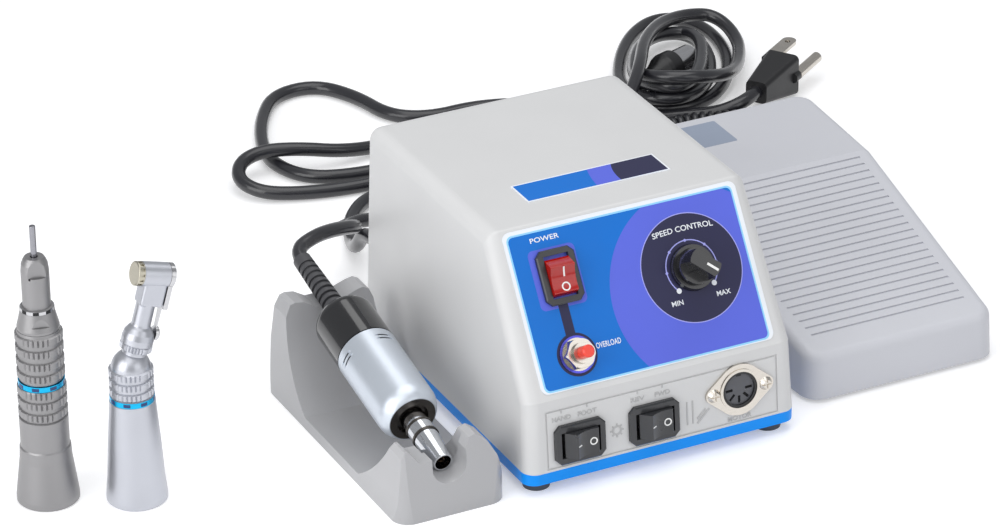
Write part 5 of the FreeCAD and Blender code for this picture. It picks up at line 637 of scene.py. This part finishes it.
def rounded_field(x0, x1, y0, y1, corner):
    """Flat rectangle with rounded corners."""
    bm = bmesh.new()
    bmesh.ops.create_grid(bm, x_segments=1, y_segments=1, size=0.5)
    bmesh.ops.scale(bm, vec=(x1 - x0, y1 - y0, 1), verts=bm.verts)
    bmesh.ops.translate(bm, vec=((x0 + x1) / 2, (y0 + y1) / 2, 0), verts=bm.verts)
    if corner:
        bmesh.ops.bevel(
            bm, geom=list(bm.verts), offset=corner, segments=6, profile=0.5, affect="VERTICES", material=-1
        )
    return bm


def disc(x, y, radius, segments=96):
    """Flat round field."""
    bm = bmesh.new()
    bmesh.ops.create_circle(bm, cap_ends=True, radius=radius, segments=segments)
    bmesh.ops.translate(bm, vec=(x, y, 0), verts=bm.verts)
    return bm


def band_round(x, y, outer, inner, segments=96, start=0.0, sweep=360.0):
    """Flat ring, or a part of one from a start angle through a sweep (degrees, from +X towards +Y)."""
    bm = bmesh.new()
    ends = [bm.verts.new((radius, 0, 0)) for radius in (inner, outer)]
    edge = bm.edges.new(ends)
    bmesh.ops.rotate(bm, cent=(0, 0, 0), matrix=Matrix.Rotation(math.radians(start), 3, "Z"), verts=ends)
    full = abs(sweep) >= 360
    bmesh.ops.spin(
        bm, geom=[*ends, edge], cent=(0, 0, 0), axis=(0, 0, 1), angle=math.radians(sweep),
        steps=segments, use_merge=full,
    )
    bmesh.ops.translate(bm, vec=(x, y, 0), verts=bm.verts)
    return bm


def strip(start, end, width):
    """Flat bar from one point to another."""
    start, end = Vector((*start, 0)), Vector((*end, 0))
    run = end - start
    bm = rounded_field(0, run.length, -width / 2, width / 2, 0)
    turn = Matrix.Rotation(math.atan2(run.y, run.x), 4, "Z")
    bmesh.ops.transform(bm, matrix=Matrix.Translation(start) @ turn, verts=bm.verts)
    return bm


def print_form(bm, name, panel, layer, finish):
    """Prints a flat form on a sheet, as one of its layers of ink."""
    lift_ink(bm, SHEET_TOP - INK_SINK + layer * INK_STEP)
    settle(bm, name, panel, finish, "set")


LETTER_WEIGHT = 0.012


def word(name, text, panel, low, finish, x0, x1, base, height, thick=INK_T, arch=0.0):
    """Plain capitals from x0 to x1 on a baseline, a little arched where asked, as a mesh on its panel."""
    curve = bpy.data.curves.new(name, "FONT")
    curve.body = text
    curve.extrude = 0.5
    curve.offset = LETTER_WEIGHT
    curve.resolution_u = 4
    lettering = bpy.data.objects.new(name + "_text", curve)
    scene.collection.objects.link(lettering)
    bpy.context.view_layer.update()
    mesh = bpy.data.meshes.new_from_object(lettering)
    bpy.data.curves.remove(curve)
    bm = bmesh.new()
    bm.from_mesh(mesh)
    bpy.data.meshes.remove(mesh)
    bmesh.ops.remove_doubles(bm, verts=bm.verts, dist=0.0001)
    lows = [min(v.co[k] for v in bm.verts) for k in range(3)]
    highs = [max(v.co[k] for v in bm.verts) for k in range(3)]
    sizes = (x1 - x0, height, thick)
    bmesh.ops.translate(bm, vec=[-low_k for low_k in lows], verts=bm.verts)
    bmesh.ops.scale(bm, vec=[s / (h - low_k) for s, h, low_k in zip(sizes, highs, lows)], verts=bm.verts)
    bmesh.ops.translate(bm, vec=(x0, base, low), verts=bm.verts)
    middle = (x0 + x1) / 2
    for vert in bm.verts:
        vert.co.y -= arch * ((vert.co.x - middle) / (x1 - x0)) ** 2
    settle(bm, name, panel, finish, "set")


# Front sheet

FIELD = (-47.2, 46.8, 3.4, 62.1)
FIELD_CORNER = 2.0
RIM_W = 0.7
RIM_CORNER = 2.4
VIOLET_AT = (26.0, 27.5)
VIOLET_R = 38.6
POWER_HALO = (-41.0, -21.6, 32.6, 55.6)
POWER_HALO_CORNER = 2.2
LINK_X = -32.0
LINK_HIGH, LINK_LOW = 34.0, 18.0
LINK_W = 4.0
DIAL_AT = (23.0, 35.7)
DIAL_DISC_R = 20.7
DIAL_RIM_W = 0.35
SCALE_R = 10.6
SCALE_HALF_W = 0.22
SCALE_DOTS = 7
SCALE_DOT_R, SCALE_END_R = 0.55, 1.05
BREAKER_AT = (-31.5, 14.3)
BREAKER_DISC_R = 8.2
WORD_RISE = 0.08
DISC_RISE = 0.06


def trim_to_field(bm, field, corner=FIELD_CORNER):
    """Cuts a flat form off at a field's edges and round corners."""
    x0, x1, y0, y1 = field
    for at, out in (
        ((x0, 0, 0), (-1, 0, 0)), ((x1, 0, 0), (1, 0, 0)),
        ((0, y0, 0), (0, -1, 0)), ((0, y1, 0), (0, 1, 0)),
    ):
        cut_outside(bm, at, out)
    for degrees in (15, 30, 45, 60, 75):
        for sx, sy in ((1, 1), (1, -1), (-1, 1), (-1, -1)):
            out = (sx * math.cos(math.radians(degrees)), sy * math.sin(math.radians(degrees)), 0)
            at = ((x1 - corner if sx > 0 else x0 + corner) + out[0] * corner,
                  (y1 - corner if sy > 0 else y0 + corner) + out[1] * corner, 0)
            cut_outside(bm, at, out)
    return bm


def print_front_sheet():
    """Fields, dial, scale and plain words of the sheet on the sloped front."""
    x0, x1, y0, y1 = FIELD
    panel = UPPER_PANEL
    rim = rounded_field(x0 - RIM_W, x1 + RIM_W, y0 - RIM_W, y1 + RIM_W, RIM_CORNER)
    print_form(rim, "print_rim_line", panel, 0, PRINT_PALE_BLUE)
    print_form(rounded_field(*FIELD, FIELD_CORNER), "print_azure_field", panel, 1, PRINT_AZURE)
    violet = trim_to_field(disc(*VIOLET_AT, VIOLET_R, 160), FIELD)
    print_form(violet, "print_violet_field", panel, 2, PRINT_VIOLET)
    print_form(rounded_field(*POWER_HALO, POWER_HALO_CORNER), "print_power_halo", panel, 2, PRINT_VIOLET)
    print_form(disc(*DIAL_AT, DIAL_DISC_R + DIAL_RIM_W), "print_dial_rim", panel, 3, PRINT_LILAC)
    print_form(disc(*DIAL_AT, DIAL_DISC_R), "print_dial_disc", panel, 4, PRINT_NAVY)
    link = strip((LINK_X, LINK_HIGH), (LINK_X, LINK_LOW), LINK_W)
    print_form(link, "print_link_strip", panel, 3, PRINT_NAVY)
    print_form(disc(*BREAKER_AT, BREAKER_DISC_R), "print_breaker_disc", panel, 4, PRINT_NAVY)
    scale = band_round(*DIAL_AT, SCALE_R + SCALE_HALF_W, SCALE_R - SCALE_HALF_W, 72, start=-45.0, sweep=270.0)
    print_form(scale, "print_speed_scale", panel, 5, PRINT_LILAC)
    for i in range(SCALE_DOTS):
        angle = math.radians(225 - 45 * i)
        at = (DIAL_AT[0] + SCALE_R * math.cos(angle), DIAL_AT[1] + SCALE_R * math.sin(angle))
        is_end = i in (0, SCALE_DOTS - 1)
        dot = disc(*at, SCALE_END_R if is_end else SCALE_DOT_R, 24)
        print_form(dot, f"print_scale_dot_{i}", panel, 6, PRINT_WHITE if is_end else PRINT_LILAC)
    on_sheet = SHEET_TOP + WORD_RISE
    on_disc = on_sheet + DISC_RISE
    for name, text, low, left, right, base, height, arch in (
        ("power", "POWER", on_sheet, -38.6, -26.6, 58.3, 1.9, 0.0),
        ("speed_control", "SPEED CONTROL", on_disc, 10.3, 36.0, 49.9, 2.15, 2.6),
        ("min", "MIN", on_disc, 11.2, 16.0, 22.9, 1.9, 0.0),
        ("max", "MAX", on_disc, 30.4, 36.2, 22.9, 1.9, 0.0),
        ("overload", "OVERLOAD", on_sheet, -23.2, -12.8, 14.6, 2.2, 0.0),
    ):
        word("word_" + name, text, panel, low, PRINT_WHITE, left, right, base, height, arch=arch)


ROOF_FIELD = (-28.6, 30.6, 55.0, 68.6)
ROOF_CORNER = 0.01
ROOF_VIOLET = (62.0, 50.0, 62.0)
ROOF_NAVY = (40.0, 56.5, 29.5)


def print_roof_sheet():
    """Bare plate in three colours on the roof."""
    print_form(rounded_field(*ROOF_FIELD, 0), "roof_azure_field", ROOF, 1, PRINT_AZURE)
    violet = trim_to_field(disc(*ROOF_VIOLET, 200), ROOF_FIELD, ROOF_CORNER)
    print_form(violet, "roof_violet_field", ROOF, 2, PRINT_VIOLET)
    navy = trim_to_field(disc(*ROOF_NAVY, 200), ROOF_FIELD, ROOF_CORNER)
    print_form(navy, "roof_navy_field", ROOF, 3, PRINT_NAVY)


RELIEF_H = 0.25
RELIEF_SINK = 0.02
RELIEF_LETTER_H = 1.9


def relief_words():
    """Words moulded proud of the lower front, in housing plastic darkened as painted shade of their relief.
    """
    for name, text, x0, x1, base in (
        ("hand", "HAND", -46.4, -38.6, 19.9),
        ("foot", "FOOT", -35.6, -27.8, 19.9),
        ("reverse", "REV", -13.4, -7.6, 19.9),
        ("forward", "FWD", -3.2, 3.2, 19.9),
        ("motor", "MOTOR", 27.4, 37.6, 1.9),
    ):
        word(
            "relief_" + name, text, LOWER_PANEL, -RELIEF_SINK, RELIEF_PAINTED_SHADE, x0, x1, base, RELIEF_LETTER_H,
            thick=RELIEF_H,
        )


# Marks on the moving parts


FIND_FROM = 40.0
MARK_SINK = 0.05
MARK_T = 0.13


def surface_of(node):
    """Finder for a node's own mesh: the point where a line down a panel's Z first meets it."""
    mesh = NODES[node].data
    tree = BVHTree.FromPolygons([v.co for v in mesh.vertices], [p.vertices for p in mesh.polygons])

    def find(panel, x, y):
        start = panel @ Vector((x, y, FIND_FROM))
        along = (panel @ Vector((x, y, 0)) - start).normalized()
        return tree.ray_cast(start, along)[0]

    return find


def mark(bm, name, node, panel, finish):
    """Lays a flat form of a panel's own plane on a node's surface, riding on the node's body."""
    lift_ink(bm, 0, MARK_T)
    find, back = surface_of(node), panel.inverted()
    for vert in bm.verts:
        vert.co.z += (back @ find(panel, vert.co.x, vert.co.y)).z - MARK_SINK
    settle(bm, name, panel, finish, node)


def fine_strip(start, end, width, steps=10):
    """Bar of short lengths, to follow a curve."""
    bm = strip(start, end, width)
    along = [e for e in bm.edges if e.calc_length() > width * 1.01]
    bmesh.ops.subdivide_edges(bm, edges=along, cuts=steps, use_grid_fill=True)
    return bm


def mark_rockers():
    """White line and ring on each rocker's two halves."""
    for node, panel, x, y, ends, wide, ring_at, ring in (
        ("power_rocker", UPPER_PANEL, -30.7, 44.2, ((0.4, -0.6), (0.4, 2.9)), 0.65, (0.3, -4.4), (1.75, 1.2)),
        ("mode_rocker", LOWER_PANEL, -35.5, 10.2, ((-2.9, 0), (-1.2, 0)), 0.5, (4.3, 0), (1.55, 1.05)),
        ("direction_rocker", LOWER_PANEL, -4.2, 10.2, ((-2.9, 0), (-1.2, 0)), 0.5, (4.3, 0), (1.55, 1.05)),
    ):
        (x0, y0), (x1, y1) = ends
        line = fine_strip((x + x0, y + y0), (x + x1, y + y1), wide)
        mark(line, node + "_line", node, panel, MARK_WHITE)
        ring_form = band_round(x + ring_at[0], y + ring_at[1], *ring, 40)
        mark(ring_form, node + "_ring", node, panel, MARK_WHITE)


POINTER_TURN = -42.0
POINTER_FROM, POINTER_TO = 0.6, 5.7
POINTER_W = 0.95


def mark_knob():
    """White pointer line on the knob's top."""
    turn = Matrix.Rotation(math.radians(POINTER_TURN), 4, "Z")
    place = UPPER_PANEL @ Matrix.Translation((*DIAL_AT, 0)) @ turn
    pointer = fine_strip((POINTER_FROM, 0), (POINTER_TO, 0), POINTER_W, 4)
    mark(pointer, "knob_pointer", "speed_knob", place, MARK_WHITE)


WASHER_R, WASHER_HOLE_R = 7.1, 6.0
WASHER_RISE, WASHER_T = 0.1, 0.5


def dress_breaker():
    """Violet washer under the reset button's nut."""
    washer = band_round(*BREAKER_AT, WASHER_R, WASHER_HOLE_R, 48)
    lift_ink(washer, SHEET_TOP + WASHER_RISE, WASHER_T)
    settle(washer, "breaker_washer_rim", UPPER_PANEL, WASHER_VIOLET, "set")


DIN_AT = (32.5, 14.5)
DIN_RIM_R, DIN_RIM_HOLE_R = 7.38, 6.35
DIN_RIM_LOW, DIN_RIM_H = 0.12, 0.9
DIN_SLOTS = 5
DIN_SLOT_FROM, DIN_SLOT_TO = -5.6, -2.8
DIN_SLOT_W = 1.0
DIN_SLOT_LOW, DIN_SLOT_T = -0.9, 0.2
DIN_KEY_FROM, DIN_KEY_TO = 5.3, 6.6
DIN_KEY_W = 2.1
DIN_KEY_LOW, DIN_KEY_T = 0.1, 0.16


def dress_socket():
    """Black rim round the socket's insert, dark feet of painted shade in its contact slots, and painted shade
    in its key slot.
    """
    rim = band_round(*DIN_AT, DIN_RIM_R, DIN_RIM_HOLE_R, 64)
    lift_ink(rim, DIN_RIM_LOW, DIN_RIM_H)
    settle(rim, "socket_rim", LOWER_PANEL, INSULATOR_BLACK, "set")
    middle = LOWER_PANEL @ Matrix.Translation((*DIN_AT, 0))
    # Painted shade: dark strips sunk in the contact slots and laid at the key slot
    for i in range(DIN_SLOTS):
        turn = Matrix.Rotation(math.radians(-90 + 45 * i), 4, "Z")
        foot = strip((0, DIN_SLOT_FROM), (0, DIN_SLOT_TO), DIN_SLOT_W)
        lift_ink(foot, DIN_SLOT_LOW, DIN_SLOT_T)
        settle(foot, f"socket_slot_shade_{i}", middle @ turn, PAINTED_SHADE_BLACK, "set")
    key = strip((0, DIN_KEY_FROM), (0, DIN_KEY_TO), DIN_KEY_W)
    lift_ink(key, DIN_KEY_LOW, DIN_KEY_T)
    settle(key, "socket_key_shade", middle, PAINTED_SHADE_BLACK, "set")


SLIT_DARK_R, SLIT_DARK_HOLE_R = 11.75, 11.45
SLIT_DARK_FROM, SLIT_DARK_L = 60.2, 3.6
NOSE_RINGS = (("front", 15.0), ("rear", 20.6))
NOSE_RING_R, NOSE_RING_HOLE_R = 5.3, 4.6
NOSE_RING_L = 1.0


def dress_motor():
    """Two dark rings round the coupling's nose, and a band of painted shade inside the sleeve, showing
    through its slits.
    """
    # Painted shade: a dark band behind the sleeve's slits, where only shade shows
    dark = band_round(0, 0, SLIT_DARK_R, SLIT_DARK_HOLE_R, 64)
    lift_ink(dark, SLIT_DARK_FROM, SLIT_DARK_L)
    settle(dark, "slit_painted_shade", MOTOR, PAINTED_SHADE_BLACK, "set")
    for name, at in NOSE_RINGS:
        ring = band_round(0, 0, NOSE_RING_R, NOSE_RING_HOLE_R, 64)
        lift_ink(ring, at - NOSE_RING_L / 2, NOSE_RING_L)
        settle(ring, f"nose_ring_{name}", MOTOR, COLLAR_STEEL, "set")


GRIP_REACH = 14
SEGMENTS = 8
RING_SEGMENT_SWEEP = 18.0
RING_SEGMENT_PROUD, RING_SEGMENT_SINK = 0.06, 0.3
RING_SEGMENT_EDGE = 0.4


def blue_ring_at(place):
    """Foot, top and radius of the blue ring round a handpiece's place."""
    back = place.inverted()
    points = [back @ v.co for v in NODES["blue_rings"].data.vertices]
    near = [v for v in points if math.hypot(v.x, v.y) < GRIP_REACH]
    return min(v.z for v in near), max(v.z for v in near), max(math.hypot(v.x, v.y) for v in near)


def dress_handpieces():
    """Dark segments set in the blue rings."""
    for name, place in (("straight", STRAIGHT), ("contra", CONTRA)):
        foot, top, radius = blue_ring_at(place)
        outer, inner = radius + RING_SEGMENT_PROUD, radius - RING_SEGMENT_SINK
        for i in range(SEGMENTS):
            piece = band_round(0, 0, outer, inner, 6, start=360 / SEGMENTS * i, sweep=RING_SEGMENT_SWEEP)
            lift_ink(piece, foot + RING_SEGMENT_EDGE, top - foot - 2 * RING_SEGMENT_EDGE)
            settle(piece, f"{name}_segment_{i}", place, SEGMENT_NAVY, "set")


NOSE_FOOT_LOW, NOSE_FOOT_H = 79.75, 1.3
NOSE_FOOT_PROUD, NOSE_FOOT_SINK = 0.14, 0.3
FOOT_SEGMENT_SWEEP, FOOT_SEGMENT_TURN = 20.0, 10
FOOT_SEGMENT_DEPTH = 0.2
FOOT_SEGMENT_EDGE = 0.05


def band_nose_foot():
    """Bright ring at the foot of the straight handpiece's nose, with dark segments of painted shade for its
    slots.
    """
    find = surface_of("straight_nose")
    middle = Matrix.Translation((0, 0, NOSE_FOOT_LOW + NOSE_FOOT_H / 2))
    across = STRAIGHT @ middle @ Matrix.Rotation(math.radians(90), 4, "X")
    radius = abs((STRAIGHT.inverted() @ find(across, 0, 0)).y)
    ring = band_round(0, 0, radius + NOSE_FOOT_PROUD, radius - NOSE_FOOT_SINK, 64)
    lift_ink(ring, NOSE_FOOT_LOW, NOSE_FOOT_H)
    settle(ring, "nose_foot_ring", STRAIGHT, BRIGHT_STEEL, "set")
    # Painted shade: dark segments standing for the shade in the ring's slots
    outer, inner = radius + FOOT_SEGMENT_DEPTH, radius - FOOT_SEGMENT_DEPTH
    for i in range(SEGMENTS):
        turn = 360 / SEGMENTS * i + FOOT_SEGMENT_TURN
        piece = band_round(0, 0, outer, inner, 6, start=turn, sweep=FOOT_SEGMENT_SWEEP)
        lift_ink(piece, NOSE_FOOT_LOW + FOOT_SEGMENT_EDGE, NOSE_FOOT_H - 2 * FOOT_SEGMENT_EDGE)
        settle(piece, f"nose_foot_shade_segment_{i}", STRAIGHT, PAINTED_SHADE_BLACK, "set")


TICKS_X = (-42.5, -31.7, -10.5, 0.0)
TICK_LOW, TICK_HIGH = 22.9, 24.2
SIGN_LINE_W = 0.5
SUN_AT = (-19.6, 10.2)
SUN_R, SUN_HOLE_R = 2.0, 1.3
RAY_FROM, RAY_TO = 1.9, 2.8
RAY_W = 0.6
BARS_X = (10.2, 12.6)
BAR_LOW, BAR_HIGH = 5.0, 14.5
SLANTS = (((14.4, 4.6), (19.6, 9.6)), ((14.4, 6.4), (18.0, 10.0)))
SLANT_W = 0.7


def sun_ray(number):
    """One of the rays round the small sun sign."""
    angle = math.radians(45 * number)
    near, far = [
        (SUN_AT[0] + reach * math.cos(angle), SUN_AT[1] + reach * math.sin(angle))
        for reach in (RAY_FROM, RAY_TO)
    ]
    return strip(near, far, RAY_W)


def relief_signs():
    """Small raised signs on the lower front: ticks over the words, a sun, upright bars and slanted lines,
    darkened as painted shade.
    """
    signs = [strip((x, TICK_LOW), (x, TICK_HIGH), SIGN_LINE_W) for x in TICKS_X]
    signs.append(band_round(*SUN_AT, SUN_R, SUN_HOLE_R, 24))
    signs += [sun_ray(number) for number in range(8)]
    signs += [strip((x, BAR_LOW), (x, BAR_HIGH), SIGN_LINE_W) for x in BARS_X]
    signs += [strip(start, end, SLANT_W) for start, end in SLANTS]
    for number, sign in enumerate(signs):
        lift_ink(sign, -RELIEF_SINK, RELIEF_H)
        settle(sign, f"relief_sign_{number}", LOWER_PANEL, RELIEF_PAINTED_SHADE, "set")


SPRING_PLACES = ((87.0, 141.3), (139.0, 141.3))
SPRING_MEAN_R = 4.7
SPRING_WIRE_R = 0.8
SPRING_LOW, SPRING_HIGH = 6.4, 40.3
SPRING_TURNS = 6
SPRING_STEPS = 20


def wind_springs():
    """The pedal's two compression springs, wound at rest; nothing here shortens them as the treadle goes
    down.
    """
    curve = bpy.data.curves.new("spring_wire", "CURVE")
    curve.dimensions = "3D"
    curve.bevel_depth = SPRING_WIRE_R
    curve.bevel_resolution = 2
    curve.use_fill_caps = True
    steps = SPRING_STEPS * SPRING_TURNS
    for x, y in SPRING_PLACES:
        spline = curve.splines.new("POLY")
        spline.points.add(steps)
        for i, control in enumerate(spline.points):
            angle = 2 * math.pi * i / SPRING_STEPS
            height = SPRING_LOW + (SPRING_HIGH - SPRING_LOW) * i / steps
            control.co = (x + SPRING_MEAN_R * math.cos(angle), y + SPRING_MEAN_R * math.sin(angle), height, 1)
    wire = bpy.data.objects.new("spring_wire", curve)
    scene.collection.objects.link(wire)
    bpy.context.view_layer.update()
    mesh = bpy.data.meshes.new_from_object(wire)
    bpy.data.curves.remove(curve)
    bm = bmesh.new()
    bm.from_mesh(mesh)
    bpy.data.meshes.remove(mesh)
    springs = settle(bm, "pedal_coils", UNIT, SPRING_STEEL, "set")
    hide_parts("pedal_springs")
    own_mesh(springs)


LABEL_FIELD = (84.0, 115.8, 152.6, 173.0)
LABEL_CORNER = 0.8
LABEL_LOW, LABEL_T = 43.98, 0.12


def label_pedal():
    """Bare grey-blue label on the pedal's flat top."""
    label = rounded_field(*LABEL_FIELD, LABEL_CORNER)
    lift_ink(label, LABEL_LOW, LABEL_T)
    settle(label, "pedal_label", UNIT, LABEL_BLUE, "treadle")


def plug_metal(at, heading):
    """Place of a plug: Z along its heading on the table, X up."""
    turn = Matrix.Rotation(math.radians(heading), 4, "Z") @ Matrix.Rotation(math.radians(90), 4, "Y")
    return UNIT @ Matrix.Translation(at) @ turn @ Matrix.Rotation(math.pi, 4, "Z")


def pierced_blade(width, end, start, hole_at, hole_r, thickness):
    """Flat blade in XY along Y, with a round end and a round hole."""
    curve = bpy.data.curves.new("blade_outline", "CURVE")
    curve.dimensions = "2D"
    curve.fill_mode = "BOTH"
    curve.extrude = thickness / 2
    half = width / 2
    arc = [math.pi * i / 16 for i in range(17)]
    outline = [(-half, start), (half, start)] + [(half * math.cos(a), end + half * math.sin(a)) for a in arc]
    round_turn = [2 * math.pi * i / 24 for i in range(24)]
    hole = [(hole_r * math.cos(a), hole_at + hole_r * math.sin(a)) for a in round_turn]
    for points in (outline, hole):
        spline = curve.splines.new("POLY")
        spline.points.add(len(points) - 1)
        for control, point in zip(spline.points, points):
            control.co = (*point, 0, 1)
        spline.use_cyclic_u = True
    shape = bpy.data.objects.new("blade_outline", curve)
    scene.collection.objects.link(shape)
    bpy.context.view_layer.update()
    mesh = bpy.data.meshes.new_from_object(shape)
    bpy.data.curves.remove(curve)
    bm = bmesh.new()
    bm.from_mesh(mesh)
    bpy.data.meshes.remove(mesh)
    bmesh.ops.remove_doubles(bm, verts=bm.verts, dist=0.0001)
    return bm


MAINS_PLUG_HEADING = 35
BLADE_W, BLADE_T = 6.45, 1.66
BLADE_ROUND_END, BLADE_START = 41.0, 24.2
BLADE_HOLE_AT, BLADE_HOLE_R = 39.5, 1.25
BLADE_SIDE, BLADE_DROP = 6.35, -3.97
EARTH_PIN_UP, EARTH_PIN_R = 7.93, 2.5
EARTH_PIN_L = 20.4
MOTOR_PLUG_HEADING = 20
SHELL_R, SHELL_HOLE_R = 6.72, 6.5
SHELL_START, SHELL_L = 14.6, 11.3


def dress_plugs():
    """Nickel blades and earth pin of the mains plug, and the bright shell of the motor's plug."""
    mains = plug_metal(MAINS_ROUTE[-1], MAINS_PLUG_HEADING)
    for side in (-1, 1):
        blade = pierced_blade(BLADE_W, BLADE_ROUND_END, BLADE_START, BLADE_HOLE_AT, BLADE_HOLE_R, BLADE_T)
        upright = Matrix.Rotation(math.radians(90), 4, "Z") @ Matrix.Rotation(math.radians(90), 4, "X")
        stand = mains @ Matrix.Translation((side * BLADE_SIDE, BLADE_DROP, 0)) @ upright
        settle(blade, "blade_low" if side < 0 else "blade_high", stand, NICKEL, "set")
    pin = disc(0, EARTH_PIN_UP, EARTH_PIN_R, 32)
    lift_ink(pin, BLADE_START, EARTH_PIN_L)
    settle(pin, "earth_pin", mains, NICKEL, "set")
    shell = band_round(0, 0, SHELL_R, SHELL_HOLE_R, 48)
    lift_ink(shell, SHELL_START, SHELL_L)
    place = plug_metal(MOTOR_LOOPS[-1], MOTOR_PLUG_HEADING)
    settle(shell, "motor_plug_shell", place, BRIGHT_STEEL, "set")


set_camera()
set_stage()
set_lights()
dress_nodes()
lay_cords()
print_front_sheet()
print_roof_sheet()
relief_words()
mark_rockers()
mark_knob()
dress_breaker()
dress_socket()
dress_motor()
dress_handpieces()
band_nose_foot()
relief_signs()
wind_springs()
label_pedal()
dress_plugs()
scene.view_settings.view_transform = "Standard"
